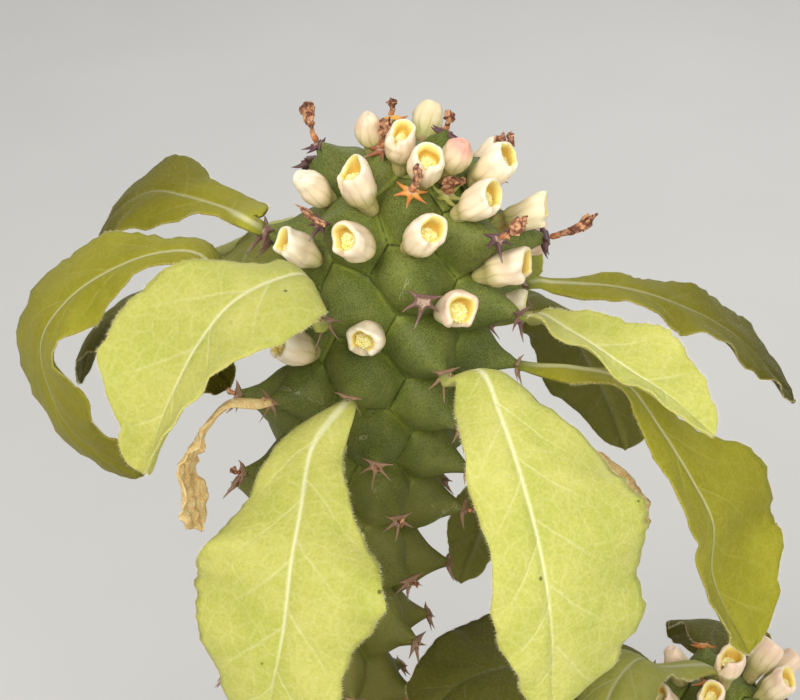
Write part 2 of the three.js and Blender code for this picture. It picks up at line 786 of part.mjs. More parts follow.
// A flower's foot on the stem, and its axis.
function flowerFrame(flower, stem) {
  const number = flower.podarium;
  const angle = stem.phase + number * TURN + flower.turn;
  const depth = Math.max(stem.depth(number) + 0.6 - flower.above, 0.3);
  const frame = stem.frame(depth);
  const rise = Math.max(1 - depth / stem.radius, 0);
  const lift = Math.asin(rise) + radians(flower.lift ?? CUP_LIFT) * (1 - rise);
  const swung = angle + (flower.swing ?? 0);
  const axis = stem.outward(swung, frame).multiplyScalar(Math.cos(lift));
  axis.addScaledVector(frame.up, Math.sin(lift));
  const down = frame.up.clone().negate().addScaledVector(axis, axis.dot(frame.up)).normalize();
  return { foot: stem.groove(angle, depth), axis, down, side: axis.clone().cross(down).normalize() };
}

// Height along the axis at which a flat end of the given radius comes to rest on the stem.
function seatHeight(place, radius, start, stem) {
  const ray = new THREE.Raycaster();
  const away = place.axis.clone().negate();
  const heights = [0, 60, 120, 180, 240, 300].map((turn) => {
    const from = place.foot.clone().addScaledVector(place.axis, start);
    from.addScaledVector(place.down, radius * Math.cos(radians(turn)));
    from.addScaledVector(place.side, radius * Math.sin(radians(turn)));
    ray.set(from, away);
    const hit = ray.intersectObject(stem.mesh)[0];
    return hit ? start - hit.distance : 0;
  });
  return Math.max(...heights) + SEAT_GAP;
}

// Rings of points round an axis, closed by a flat start and a last point. A ring has a height and
// a radius, and can have a rise across the axis and a bend, which changes its points one by one.
function ringedSolid(place, rings, sides, last) {
  const points = [];
  const triangles = [];
  const at = ({ height, rise }, radius, turn) => {
    const point = place.foot.clone().addScaledVector(place.axis, height);
    point.addScaledVector(place.down, radius * Math.cos(turn) - (rise ?? 0));
    return point.addScaledVector(place.side, radius * Math.sin(turn));
  };
  rings.forEach((ring) => {
    for (let i = 0; i < sides; i += 1) {
      const change = ring.bend ? ring.bend(i) : { height: 0, radius: 1 };
      const moved = { height: ring.height + change.height, rise: ring.rise };
      points.push(at(moved, ring.radius * change.radius, (2 * Math.PI * i) / sides));
    }
  });
  const start = points.push(at(rings[0], 0, 0)) - 1;
  const end = points.push(at(last, 0, 0)) - 1;
  for (let i = 0; i < sides; i += 1) {
    const next = (i + 1) % sides;
    triangles.push([start, next, i]);
    for (let ring = 0; ring < rings.length - 1; ring += 1) {
      const [a, b] = [ring * sides + i, ring * sides + next];
      triangles.push([a, b, a + sides], [b, b + sides, a + sides]);
    }
    const outer = (rings.length - 1) * sides;
    triangles.push([outer + i, outer + next, end]);
  }
  return polyhedron(points, triangles);
}

// A cup on a short stalk: its rim slopes to a notch on the lower side, and a low mound of tiny
// flowers stands on its floor.
function cupFlower(flower, stem) {
  const place = flowerFrame(flower, stem);
  const size = flower.size ?? 1;
  const opening = flower.bud ? BUD_OPENING : 1;
  const root = seatHeight(place, CUP_RADII.root, CUP.neck, stem);
  const dip = (i) => {
    const notch = { 0: 1, 1: 0.25, [CUP_SIDES - 1]: 0.25 }[i] ?? 0;
    const slope = CUP.slope * Math.cos((2 * Math.PI * i) / CUP_SIDES);
    return { height: -(CUP.notch * notch + slope) * opening, radius: 1 };
  };
  const along = (height) => CUP.neck + (height - CUP.neck) * size;
  const mouth = CUP_RADII.mouth * opening * size;
  return ringedSolid(
    place,
    [
      { height: root, radius: CUP_RADII.root },
      { height: CUP.neck, radius: CUP_RADII.neck },
      { height: along(CUP.belly), radius: CUP_RADII.belly * size },
      { height: along(CUP.mouth), radius: mouth, bend: dip },
      { height: along(CUP.mouth), radius: mouth - CUP_WALL * opening, bend: dip },
      { height: along(CUP.floor), radius: CUP_RADII.floor * opening * size },
    ],
    CUP_SIDES,
    { height: along(CUP.middle) },
  );
}

// A withered stalk: thin, bent upwards, with a crumpled end.
function dryStalk(stalk, stem) {
  const hump = stem.podarium(stalk.podarium);
  const foot = hump.tip.clone().addScaledVector(hump.out, 0.1 + SEAT_GAP);
  const place = { foot, axis: hump.out, down: hump.down, side: hump.side };
  const random = seeded(stalk.seed);
  const ragged = () => ({ height: (random() - 0.5) * 0.9, radius: 0.6 + 0.8 * random() });
  const bent = (share) => ({ height: share * stalk.length, rise: 0.35 * stalk.length * share ** 2 });
  return ringedSolid(
    place,
    [
      { ...bent(0), radius: 0.8 },
      { ...bent(0.4), radius: 0.65 },
      { ...bent(0.7), radius: 1.2, bend: ragged },
      { ...bent(0.9), radius: 1.1, bend: ragged },
    ],
    STALK_SIDES,
    bent(1),
  );
}

// Pot and soil

function lathe(profile, sides) {
  const points = profile.map(([radius, height]) => new THREE.Vector2(radius, height));
  return new THREE.LatheGeometry(points, sides).rotateX(Math.PI / 2);
}

// Outer radius of the pot's tapered body at a height.
function potRadius(height) {
  const shoulder = POT_RIM_RADIUS - POT_COLLAR_STEP - 1;
  return THREE.MathUtils.mapLinear(height, 0, POT_HEIGHT - POT_COLLAR, POT_FOOT_RADIUS, shoulder);
}

function pot() {
  const collarFoot = POT_HEIGHT - POT_COLLAR;
  const rimInside = POT_RIM_RADIUS - POT_WALL;
  const shell = lathe(
    [
      [0, 0],
      [POT_FOOT_RADIUS - 1.5, 0],
      [POT_FOOT_RADIUS, 1.5],
      [potRadius(collarFoot), collarFoot],
      [POT_RIM_RADIUS - 1, collarFoot + 1.5],
      [POT_RIM_RADIUS, POT_HEIGHT - 2],
      [POT_RIM_RADIUS - 2, POT_HEIGHT],
      [rimInside, POT_HEIGHT],
      [potRadius(collarFoot) - POT_WALL, collarFoot],
      [potRadius(POT_FLOOR) - POT_WALL, POT_FLOOR],
      [0, POT_FLOOR],
    ],
    POT_SIDES,
  );
  let solid = toSolid(shell);
  for (let i = 0; i < DRAIN_HOLES; i += 1) {
    const turn = (2 * Math.PI * i) / DRAIN_HOLES;
    const drill = new THREE.CylinderGeometry(DRAIN_RADIUS, DRAIN_RADIUS, 4 * POT_FLOOR, 12);
    drill.rotateX(Math.PI / 2);
    drill.translate(DRAIN_CIRCLE * Math.cos(turn), DRAIN_CIRCLE * Math.sin(turn), 0);
    solid = solid.subtract(toSolid(drill));
  }
  return toGeometry(solid);
}

// Room for a stem's foot, in straight spans from just under it up through the soil's surface.
function stemHole(stem) {
  const radius = (stem.footRadius + HOLE_GAP) / Math.cos(Math.PI / HOLE_SIDES);
  const spans = HOLE_LEVELS.map((level) => stem.frame(stem.length - level));
  const holes = spans.slice(1).map((above, i) => {
    const below = spans[i];
    const axis = above.centre.clone().sub(below.centre);
    const length = axis.length();
    axis.normalize();
    const down = below.front.clone().addScaledVector(axis, -below.front.dot(axis)).normalize();
    const place = { foot: below.centre, axis, down, side: axis.clone().cross(down) };
    const rings = [{ height: -HOLE_GAP, radius }, { height: length + HOLE_GAP, radius }];
    return toSolid(ringedSolid(place, rings, HOLE_SIDES, { height: length + HOLE_GAP }));
  });
  return wasm.Manifold.union(holes);
}

// Soil with an uneven surface and a few stones in it.
function soil() {
  const random = seeded(7);
  const wall = POT_WALL + 2 * SEAT_GAP;
  const bottom = POT_FLOOR + SEAT_GAP;
  const collarFoot = POT_HEIGHT - POT_COLLAR;
  const widening = (SOIL_LEVEL - collarFoot) / POT_COLLAR;
  const topRadius = THREE.MathUtils.lerp(potRadius(collarFoot), POT_RIM_RADIUS, widening) - wall;
  const uneven = () => ({ height: (random() - 0.5) * 2 * SOIL_ROUGHNESS, radius: 1 });
  const place = {
    foot: new THREE.Vector3(0, 0, 0),
    axis: new THREE.Vector3(0, 0, 1),
    down: new THREE.Vector3(1, 0, 0),
    side: new THREE.Vector3(0, 1, 0),
  };
  const rings = [
    { height: bottom, radius: potRadius(bottom) - wall },
    { height: collarFoot, radius: potRadius(collarFoot) - wall },
    { height: SOIL_LEVEL - 1, radius: topRadius },
  ];
  [0.85, 0.68, 0.5, 0.3, 0.14].forEach((share) => {
    rings.push({ height: SOIL_LEVEL, radius: share * topRadius, bend: uneven });
  });
  let solid = toSolid(ringedSolid(place, rings, SOIL_SIDES, { height: SOIL_LEVEL }));
  for (let i = 0; i < STONE_COUNT; i += 1) {
    const stone = new THREE.IcosahedronGeometry(2.2 + 2.2 * random(), 0);
    stone.scale(1, 0.8, 0.65).rotateZ(6 * random());
    const turn = i * 2.4;
    const reach = (topRadius - 6) * Math.sqrt((i + 0.5) / STONE_COUNT);
    stone.translate(reach * Math.cos(turn), reach * Math.sin(turn), SOIL_LEVEL + 0.2);
    solid = solid.add(toSolid(stone));
  }
  solid = solid.subtract(stemHole(mainStem)).subtract(stemHole(sideStem));
  return toGeometry(largestBody(solid).simplify(SLIVER));
}

// A stem, then its leaves and flowers.
function addPlant(spec, stemName, leaves, flowers, flowerName) {
  const stem = new Stem(spec).build();
  stem.mesh = addPiece(stemName, stem.geometry, materials.skin);
  for (const leaf of leaves) {
    addPiece(leaf.name, leafBlade(leaf, stem), leaf.dry ? materials.dryLeaf : materials.leaf);
  }
  flowers.forEach((flower, i) => {
    addPiece(`${flowerName}_${i + 1}`, cupFlower(flower, stem), materials.flower);
  });
  return stem;
}

const mainStem = addPlant(MAIN_STEM, "main_stem", MAIN_LEAVES, MAIN_FLOWERS, "cup_flower");
const sideStem = addPlant(SIDE_STEM, "side_stem", SIDE_LEAVES, SIDE_FLOWERS, "side_cup_flower");
DRY_STALKS.forEach((stalk, i) => {
  addPiece(`dry_stalk_${i + 1}`, dryStalk(stalk, mainStem), materials.dryFlower);
});
addPiece("pot", pot(), materials.clay);
addPiece("soil", soil(), materials.soil);

export default plant;
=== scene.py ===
# %% [markdown]
# # A flowering spiny succulent in a clay pot
#
# The plant has two fleshy stems. Each is a lattice of podaria, cone-shaped humps that end in a
# star of spines round the scar of a fallen leaf. Soft leaves with waved edges hang from the
# podaria round the crown, and cream cup flowers stand above them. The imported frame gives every
# place and size. These cells grow fine pieces in the same places, in metres.

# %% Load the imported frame
import bisect
import math
import random

import bpy
import numpy as np
from mathutils import Matrix, Vector, noise
from mathutils.bvhtree import BVHTree
from mathutils.kdtree import KDTree


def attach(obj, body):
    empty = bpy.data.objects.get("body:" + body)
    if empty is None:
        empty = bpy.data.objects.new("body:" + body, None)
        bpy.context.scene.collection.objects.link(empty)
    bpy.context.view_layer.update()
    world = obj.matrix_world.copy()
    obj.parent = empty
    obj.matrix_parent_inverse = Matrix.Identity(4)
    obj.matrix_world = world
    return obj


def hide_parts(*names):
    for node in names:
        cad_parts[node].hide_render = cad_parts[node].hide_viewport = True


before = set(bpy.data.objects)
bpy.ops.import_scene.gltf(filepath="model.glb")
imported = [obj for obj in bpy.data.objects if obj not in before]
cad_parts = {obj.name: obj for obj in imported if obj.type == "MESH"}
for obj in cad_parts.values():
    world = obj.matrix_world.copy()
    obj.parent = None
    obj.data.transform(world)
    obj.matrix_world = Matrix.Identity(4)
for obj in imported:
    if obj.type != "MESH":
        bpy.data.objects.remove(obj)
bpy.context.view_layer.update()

MM = 0.001
print(len(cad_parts), "solids in the frame")

# %% [markdown]
# ## Tools of the bench
#
# Everything is selected by code, by its place or its direction, and then shaped by the same
# operators as by hand. These helpers select, apply a modifier, read or move all points of a piece
# at once in millimetres, and find the nearest of many places.


# %% Select and modify
def only(piece):
    """Make one piece the selected and active one."""
    if bpy.context.mode != "OBJECT":
        bpy.ops.object.mode_set(mode="OBJECT")
    bpy.ops.object.select_all(action="DESELECT")
    piece.select_set(True)
    bpy.context.view_layer.objects.active = piece
    return piece


def choose(piece, kind, test):
    """Open a piece in edit mode with the faces, edges or points selected that pass a test."""
    only(piece)
    mesh = piece.data
    for parts in (mesh.vertices, mesh.edges, mesh.polygons):
        parts.foreach_set("select", [False] * len(parts))
    order = ["points", "edges", "faces"]
    for part in [mesh.vertices, mesh.edges, mesh.polygons][order.index(kind)]:
        if test(part):
            part.select = True
            if kind == "edges":
                for end in part.vertices:
                    mesh.vertices[end].select = True
    bpy.context.tool_settings.mesh_select_mode = [kind == name for name in order]
    bpy.ops.object.mode_set(mode="EDIT")


def modify(piece, kind, **settings):
    """Add a modifier and apply it."""
    only(piece)
    modifier = piece.modifiers.new(kind.title(), kind)
    for key, value in settings.items():
        setattr(modifier, key, value)
    bpy.ops.object.modifier_apply(modifier=modifier.name)
    return piece


def subdivide(piece, levels):
    return modify(piece, "SUBSURF", levels=levels, render_levels=levels)


# %% Read, move and mark points
def points_of(piece):
    """All points of a piece in millimetres, one row each."""
    table = np.empty(len(piece.data.vertices) * 3)
    piece.data.vertices.foreach_get("co", table)
    return table.reshape(-1, 3) / MM


def move_points(piece, table):
    piece.data.vertices.foreach_set("co", (np.asarray(table) * MM).ravel())
    piece.data.update()


def mark(piece, name, values):
    """Keep a number for each point, which a finish can read."""
    layer = piece.data.attributes.get(name) or piece.data.attributes.new(name, "FLOAT", "POINT")
    layer.data.foreach_set("value", np.broadcast_to(values, len(piece.data.vertices)).astype(float))


def marked(piece, name):
    """The numbers that were marked on the points."""
    values = np.empty(len(piece.data.vertices))
    piece.data.attributes[name].data.foreach_get("value", values)
    return values


# %% Settle, copy and join pieces
def settle(piece, name):
    """Bring a piece's place into its mesh, and name it."""
    only(piece)
    bpy.ops.object.transform_apply(location=True, rotation=True, scale=True)
    piece.name = piece.data.name = name
    return piece


def copy_of(model, name, matrix=Matrix.Identity(4)):
    """A copy with a mesh of its own."""
    twin = bpy.data.objects.new(name, model.data.copy())
    bpy.context.scene.collection.objects.link(twin)
    twin.data.transform(matrix)
    return twin


def join(pieces, name):
    only(pieces[0])
    for piece in pieces:
        piece.select_set(True)
    bpy.ops.object.join()
    pieces[0].name = pieces[0].data.name = name
    return pieces[0]


def smooth(piece):
    only(piece)
    bpy.ops.object.shade_smooth()
    return piece


def set_right(piece):
    """Merge doubles and turn all faces outwards."""
    choose(piece, "faces", lambda face: True)
    bpy.ops.mesh.select_all(action="SELECT")
    bpy.ops.mesh.remove_doubles(threshold=0.002 * MM)
    bpy.ops.mesh.normals_make_consistent(inside=False)
    bpy.ops.object.mode_set(mode="OBJECT")
    return piece


def discard(*pieces):
    for piece in pieces:
        bpy.data.objects.remove(piece)


# %% Noise, and trees that find what is near
def rough(table, size, seed=0):
    """Smooth noise from -1 to 1 at each point, in lumps of the given size in millimetres."""
    shift = Vector((17.3 * seed + 5.1, 9.7 * seed, 3.9))
    return np.array([noise.noise(Vector(point) / size + shift) for point in table])


def rough_ways(table, size, seed):
    """The same noise three times, as a way in x, y and z at each point."""
    return np.stack([rough(table, size, seed + i) for i in range(3)], -1)


def tree_of_places(places):
    """A tree that finds the nearest of some places, and its number in their list."""
    tree = KDTree(len(places))
    for i, place in enumerate(places):
        tree.insert(place, i)
    tree.balance()
    return tree


def tree_of_faces(piece):
    """A tree that finds where a line meets a piece."""
    mesh = piece.data
    return BVHTree.FromPolygons([v.co for v in mesh.vertices], [p.vertices for p in mesh.polygons])


def smoothstep(values, low, high):
    share = np.clip((values - low) / (high - low), 0, 1)
    return share * share * (3 - 2 * share)


def place_in(piece, body="root", nodes=()):
    """Say what a finished piece rides on, and hide the solids that it stands for."""
    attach(piece, body)
    if nodes:
        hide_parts(*nodes)
    print(piece.name, len(piece.data.polygons), "faces")


# %% [markdown]
# ## Camera
#
# The plant is seen from 30 degrees above, close by, with a lens whose focal length is two and a
# half times the width of its sensor. The crown then fills the upper half of the picture and the
# pot lies under its lower edge.

# %% Set up the camera
VIEW_FROM = (0.001, -0.2797, 0.3785)
VIEW_ELEVATION = 30
bpy.ops.object.camera_add(location=VIEW_FROM, rotation=(math.radians(90 - VIEW_ELEVATION), 0, 0))
camera = bpy.context.object
camera.data.lens = 60
camera.data.sensor_width = 24
camera.data.clip_start = 0.01
bpy.context.scene.camera = camera
print("camera", VIEW_FROM)

# %% [markdown]
# ## Floor and light
#
# A plain pale floor, a large soft lamp at the upper left, weaker ones in front, at the right and
# behind, and a pale sky that fills the shadows.

# %% Lay the floor and hang the lights
bpy.ops.mesh.primitive_plane_add(size=6)
floor = bpy.context.object
floor.name = "floor"


def lamp(name, place, aim, size, power, colour):
    """A soft square lamp that is turned towards a point."""
    bpy.ops.object.light_add(type="AREA", location=place)
    light = bpy.context.object
    light.name = name
    light.rotation_euler = (Vector(aim) - Vector(place)).to_track_quat("-Z", "Y").to_euler()
    light.data.size = size
    light.data.energy = power
    light.data.color = colour


CROWN = (0, 0, 0.22)
lamp("key_lamp", (-0.4, -0.6, 0.9), CROWN, 0.45, 7.0, (1, 0.97, 0.92))
lamp("front_lamp", (0.1, -0.66, 0.62), CROWN, 0.35, 2.8, (1, 0.98, 0.95))
lamp("fill_lamp", (0.75, -0.5, 0.5), CROWN, 0.7, 2.4, (0.95, 0.98, 1))
lamp("rim_lamp", (0.2, 0.8, 0.8), CROWN, 0.5, 3.8, (1, 1, 1))
sky = bpy.data.worlds.new("pale_sky")
sky.use_nodes = True
sky.node_tree.nodes["Background"].inputs["Color"].default_value = (0.92, 0.93, 0.95, 1)
sky.node_tree.nodes["Background"].inputs["Strength"].default_value = 0.33
bpy.context.scene.world = sky
bpy.context.scene.view_settings.view_transform = "Standard"
print("floor and four lamps")

# %% [markdown]
# ## Writing a finish as sums
#
# A finish is a net of shader nodes. It is easier to read as sums, so a Wire stands for one
# socket, and a sum of Wires adds Math nodes. Any other node comes from one method, which takes
# its type, its settings and the values of its sockets. Most finishes are a first tone and then
# coats of other colours, each through a mask.


# %% A number that flows
class Wire:
    """A number that flows from one socket of a finish."""

    def __init__(self, finish, socket):
        self.finish = finish
        self.socket = socket

    def maths(self, operation, *others):
        values = dict(enumerate((self, *others)))
        return self.finish.node("ShaderNodeMath", {"operation": operation}, values)

    def __add__(self, other):
        return self.maths("ADD", other)

    def __sub__(self, other):
        return self.maths("SUBTRACT", other)

    def __mul__(self, other):
        return self.maths("MULTIPLY", other)

    def __rsub__(self, other):
        return (self * -1) + other

    __radd__ = __add__
    __rmul__ = __mul__

    def fraction(self):
        return self.maths("FRACT")

    def size(self):
        return self.maths("ABSOLUTE")

    def step(self, low, high):
        """0 below low, 1 above high, and a smooth change between them. High may be the lower."""
        settings = {"interpolation_type": "SMOOTHSTEP"}
        if low < high:
            values = {"Value": self, "From Min": low, "From Max": high}
            return self.finish.node("ShaderNodeMapRange", settings, values)
        return 1 - self.step(high, low)


# %% A finish in the making
class Finish:
    """A material, with one method for any node and a few for the common ones."""

    def __init__(self, name):
        self.material = bpy.data.materials.new(name)
        self.material.use_nodes = True
        self.nodes = self.material.node_tree.nodes
        self.shader = self.nodes["Principled BSDF"]
        self.place = self.node("ShaderNodeTexCoord", output="Object")

    def node(self, kind, settings=None, values=None, output=0):
        node = self.nodes.new(kind)
        for key, value in (settings or {}).items():
            if key == "stops":
                self.set_stops(node.color_ramp, value)
            else:
                setattr(node, key, value)
        for key, value in (values or {}).items():
            self.feed(node.inputs[key], value)
        return Wire(self, node.outputs[output])

    def feed(self, socket, value):
        if isinstance(value, Wire):
            self.material.node_tree.links.new(value.socket, socket)
        else:
            socket.default_value = value

    def set_stops(self, ramp, stops):
        while len(ramp.elements) < len(stops):
            ramp.elements.new(1)
        for element, (place, colour) in zip(ramp.elements, stops):
            element.position = place
            element.color = colour

    def ramp(self, value, *stops):
        return self.node("ShaderNodeValToRGB", {"stops": stops}, {"Fac": value})

    def kept(self, name):
        """A number that was marked on the points."""
        return self.node("ShaderNodeAttribute", {"attribute_name": name}, output="Fac")

    def noise(self, size, detail=3, roughness=0.55):
        """Noise from 0 to 1 in lumps of the given size in millimetres."""
        values = {"Scale": 1 / (size * MM), "Detail": detail, "Roughness": roughness}
        return self.node("ShaderNodeTexNoise", {}, {"Vector": self.place, **values}, "Fac")

    def cells(self, size, feature="F1"):
        """Distance from the nearest of scattered dots, or from the edges between their cells."""
        values = {"Vector": self.place, "Scale": 1 / (size * MM)}
        return self.node("ShaderNodeTexVoronoi", {"feature": feature}, values, "Distance")

    def mix(self, first, second, share):
        values = {0: share, 6: first, 7: second}
        return self.node("ShaderNodeMix", {"data_type": "RGBA"}, values, 2)

    def coats(self, tone, *layers):
        """Lay coats over a tone, each a colour and the mask through which it shows."""
        for paint, mask in layers:
            tone = self.mix(tone, paint, mask)
        return tone

    def bump(self, height, depth, strength=1):
        """Relief of the given depth in millimetres."""
        values = {"Height": height, "Distance": depth * MM, "Strength": strength}
        return self.node("ShaderNodeBump", {}, values, "Normal")

    def finish(self, **values):
        for key, value in values.items():
            self.feed(self.shader.inputs[key.replace("_", " ")], value)
        return self.material


def colour(red, green, blue):
    """A colour as a screen shows it, from 0 to 255, in the linear values of a shader."""
    parts = [value / 255 for value in (red, green, blue)]
    linear = [p / 12.92 if p <= 0.04045 else ((p + 0.055) / 1.055) ** 2.4 for p in parts]
    return (*linear, 1)


def wear(piece, *materials):
    piece.data.materials.clear()
    for material in materials:
        piece.data.materials.append(material)
    return piece


pale = Finish("pale_floor")
pale_tone = pale.mix(colour(216, 215, 211), colour(209, 208, 204), pale.noise(90, 2))
wear(floor, pale.finish(Base_Color=pale_tone, Roughness=0.9))
print("finishes are written as sums")

# %% [markdown]
# ## The rule of the spiral
#
# A growing tip makes one podarium after another, each turned by the same angle from the one
# before. So a podarium's number gives its place. The axis of a stem is a smooth curve that is
# walked in even steps. These are the frame's own rules, in millimetres, so that every new piece
# lands on its solid.


# %% Curves
class Curve:
    """A curve from 0 to 1 that is walked in even steps of its length."""

    STEPS = 200
    NUDGE = 0.0001

    def __init__(self, at):
        self.at = at
        walk = [at(i / self.STEPS) for i in range(self.STEPS + 1)]
        self.sums = [0]
        for a, b in zip(walk, walk[1:]):
            self.sums.append(self.sums[-1] + (b - a).length)
        self.length = self.sums[-1]

    def even(self, share):
        """The parameter of the curve at a share of its length."""
        target = share * self.length
        i = min(max(bisect.bisect_right(self.sums, target) - 1, 0), self.STEPS - 1)
        part = (target - self.sums[i]) / (self.sums[i + 1] - self.sums[i])
        return (i + part) / self.STEPS

    def place(self, share):
        return self.at(self.even(share))

    def heading(self, share):
        t = self.even(share)
        ahead, behind = min(t + self.NUDGE, 1), max(t - self.NUDGE, 0)
        return (self.at(ahead) - self.at(behind)).normalized()


def bezier(points):
    points = [Vector(point) for point in points]

    def at(t):
        row = points
        while len(row) > 1:
            row = [a.lerp(b, t) for a, b in zip(row, row[1:])]
        return row[0]

    return Curve(at)


def through(points):
    """A smooth curve through a list of points."""
    points = [2 * points[0] - points[1], *points, 2 * points[-1] - points[-2]]
    spans = len(points) - 3

    def at(t):
        i = min(int(t * spans), spans - 1)
        w = t * spans - i
        a, b, c, d = points[i : i + 4]
        ab, bc, cd = (math.sqrt((q - p).length) for p, q in ((a, b), (b, c), (c, d)))
        start = ((b - a) / ab - (c - a) / (ab + bc) + (c - b) / bc) * bc
        end = ((c - b) / bc - (d - b) / (bc + cd) + (d - c) / cd) * bc
        square = -3 * b + 3 * c - 2 * start - end
        cube = 2 * b - 2 * c + start + end
        return b + start * w + square * w**2 + cube * w**3

    return Curve(at)


def value_at(values, along):
    """Value of a list at a share from 0 to 1 along it, on a smooth curve through its entries."""
    spans = len(values) - 1
    i = min(int(along * spans), spans - 1)
    w = along * spans - i
    a, b, c, d = (values[min(max(j, 0), spans)] for j in range(i - 1, i + 3))
    start, end = (c - a) / 2, (d - b) / 2
    square = 3 * c - 3 * b - 2 * start - end
    cube = 2 * b - 2 * c + start + end
    return b + start * w + square * w**2 + cube * w**3


# %% The stems and their podaria
TURN = 137.04
NEAR_STEP, MIDDLE_STEP, FAR_STEP = 3, 5, 8
FIRST_NUMBER = 4
LIFT_OLD, LIFT_YOUNG = 7, 20


class Stem:
    """One stem: where its podaria are, and how each one points."""

    def __init__(self, **sizes):
        self.__dict__.update(sizes)

    def depth(self, k):
        """How far below the top of the stem podarium number k is, along the axis."""
        if k < FIRST_NUMBER:
            return self.first_depth * math.exp(self.pitch / self.first_depth * (k - FIRST_NUMBER))
        even = self.first_depth + self.pitch * (k - FIRST_NUMBER)
        if even < self.low_depth:
            return even
        return self.low_depth + (even - self.low_depth) * self.low_pitch / self.pitch

    def radius_at(self, depth):
        """Radius in the grooves: a round dome at the top, and a taper to the foot."""
        dome = min(depth / self.radius, 1)
        taper = float(smoothstep(depth, 2 * self.radius, 5.5 * self.radius))
        radius = self.radius + (self.foot_radius - self.radius) * taper
        return radius * math.sqrt(1 - (1 - dome) ** 2)

    def frame(self, depth):
        """Place on the axis, and the directions up, right and front there."""
        along = min(max(1 - depth / self.axis.length, 0), 1)
        up = self.axis.heading(along)
        right = Vector((0, 1, 0)).cross(up).normalized()
        return self.axis.place(along), up, right, right.cross(up).normalized()

    def outward(self, angle, right, front):
        return right * math.sin(math.radians(angle)) + front * math.cos(math.radians(angle))

    def groove(self, angle, depth):
        """A point on the surface that runs through the grooves."""
        centre, _, right, front = self.frame(depth)
        return centre + self.outward(angle, right, front) * self.radius_at(depth)

    def directions(self, angle, depth, lift):
        """An axis that rises by lift, in radians, with its downward and its sideward direction."""
        _, up, right, front = self.frame(depth)
        out = self.outward(angle, right, front) * math.cos(lift) + up * math.sin(lift)
        down = (out * out.dot(up) - up).normalized()
        return out, down, out.cross(down).normalized()

    def podarium(self, k):
        """Foot, height, spread and directions of podarium number k."""
        angle = self.phase + k * TURN
        depth = self.depth(k) + 0.6
        rise = max(1 - depth / self.radius, 0)
        upturn = LIFT_OLD + (LIFT_YOUNG - LIFT_OLD) * (1 - float(smoothstep(depth, 10, 30)))
        out, down, side = self.directions(angle, depth, math.asin(rise) + math.radians(upturn))
        young = float(smoothstep(k, -3, 13))
        height = self.hump * (0.25 + 0.75 * young) * (1 - 0.35 * float(smoothstep(k, 50, 85)))
        foot = self.groove(angle, depth)
        return foot, height, 0.45 + 0.55 * young, out, down, side

    def corner(self, k, step):
        """The groove corner between the podaria k, k + step and k + FAR_STEP."""
        wrap = [n * TURN - 360 * round(n * TURN / 360) for n in (step, FAR_STEP)]
        depths = [self.depth(n) for n in (k, k + step, k + FAR_STEP)]
        return self.groove(self.phase + k * TURN + sum(wrap) / 3, sum(depths) / 3)


def local_frame(place, out, down, side):
    """The matrix of a local frame, in metres, whose x, y and z are down, side and out."""
    matrix = Matrix((down, side, out)).transposed().to_4x4()
    matrix.translation = place * MM
    return matrix


main = Stem(
    axis=bezier([(-20, 1, 70), (-16, 1, 165), (5.5, 0, 252)]),
    radius=14, foot_radius=10.5, count=94, phase=-199, first_depth=4.5,
    pitch=1.38, low_pitch=1.95, low_depth=58, hump=9,
)
offset = Stem(
    axis=bezier([(31, 2, 70), (36, 2, 92), (51.5, 3, 118), (63, 4, 145)]),
    radius=11.5, foot_radius=8.5, count=37, phase=20, first_depth=4,
    pitch=1.42, low_pitch=1.9, low_depth=40, hump=7.5,
)
print("stems", round(main.axis.length), "and", round(offset.axis.length), "mm long")

# %% [markdown]
# ## The skin of the stems
#
# On the real plant the podaria are soft cones with hollow flanks and narrow grooves between them.
# A cone could be sculpted one by one. Here the frame's own facets are copied instead: the spines
# are cut off, each groove is widened to a narrow channel, and a subdivision surface rounds the
# rest. Then each end, which that made shorter, is drawn out to its star again, and the flanks are
# drawn in to a waist. So the skin stays close to its solid. Marks on the points tell the finish
# where the grooves are and how old a podarium is.

# %% Cut off the spines and widen the grooves
GROOVE_WIDTH = 0.5
GROOVE_DEPTH = 0.5
STAR_REACH = 5.2
STAR_RADIUS = 4.9
STAR_DEPTH = 0.45


def groove_corners(stem):
    """A tree of all the points where three grooves meet."""
    numbers = range(-FAR_STEP, stem.count + FAR_STEP)
    steps = (NEAR_STEP, MIDDLE_STEP)
    return tree_of_places([stem.corner(k, step) for k in numbers for step in steps])


def cut_spines(skin, podaria):
    """Cut the star off every podarium and close its end."""
    tips = tree_of_places([foot + out * height for foot, height, _, out, _, _ in podaria])

    def on_star(point):
        place = point.co / MM
        for tip, k, distance in tips.find_range(place, STAR_REACH):
            spread, out = podaria[k][2:4]
            if (place - tip).dot(out) > -STAR_DEPTH and distance < STAR_RADIUS * spread:
                return True
        return False

    choose(skin, "points", on_star)
    bpy.ops.mesh.delete(type="VERT")
    bpy.ops.mesh.select_all(action="SELECT")
    bpy.ops.mesh.fill_holes(sides=8)
    bpy.ops.mesh.select_all(action="SELECT")
    wide = {"face_threshold": math.radians(70), "shape_threshold": math.radians(100)}
    bpy.ops.mesh.tris_convert_to_quads(**wide)
    bpy.ops.object.mode_set(mode="OBJECT")


def groove_lines(skin, stem):
    """Widen the grooves, and return points all along them."""
    corners = groove_corners(stem)
    points = skin.data.vertices

    def in_groove(edge):
        return all(corners.find(points[end].co / MM)[2] < 0.03 for end in edge.vertices)

    ends = [[points[end].co / MM for end in e.vertices] for e in skin.data.edges if in_groove(e)]
    dots = [a.lerp(b, i / 12) for a, b in ends for i in range(13)]
    lines = tree_of_places(dots)
    choose(skin, "edges", in_groove)
    bpy.ops.mesh.bevel(offset=GROOVE_WIDTH * MM, offset_type="OFFSET", segments=2, profile=0.5)
    bpy.ops.object.mode_set(mode="OBJECT")
    return lines


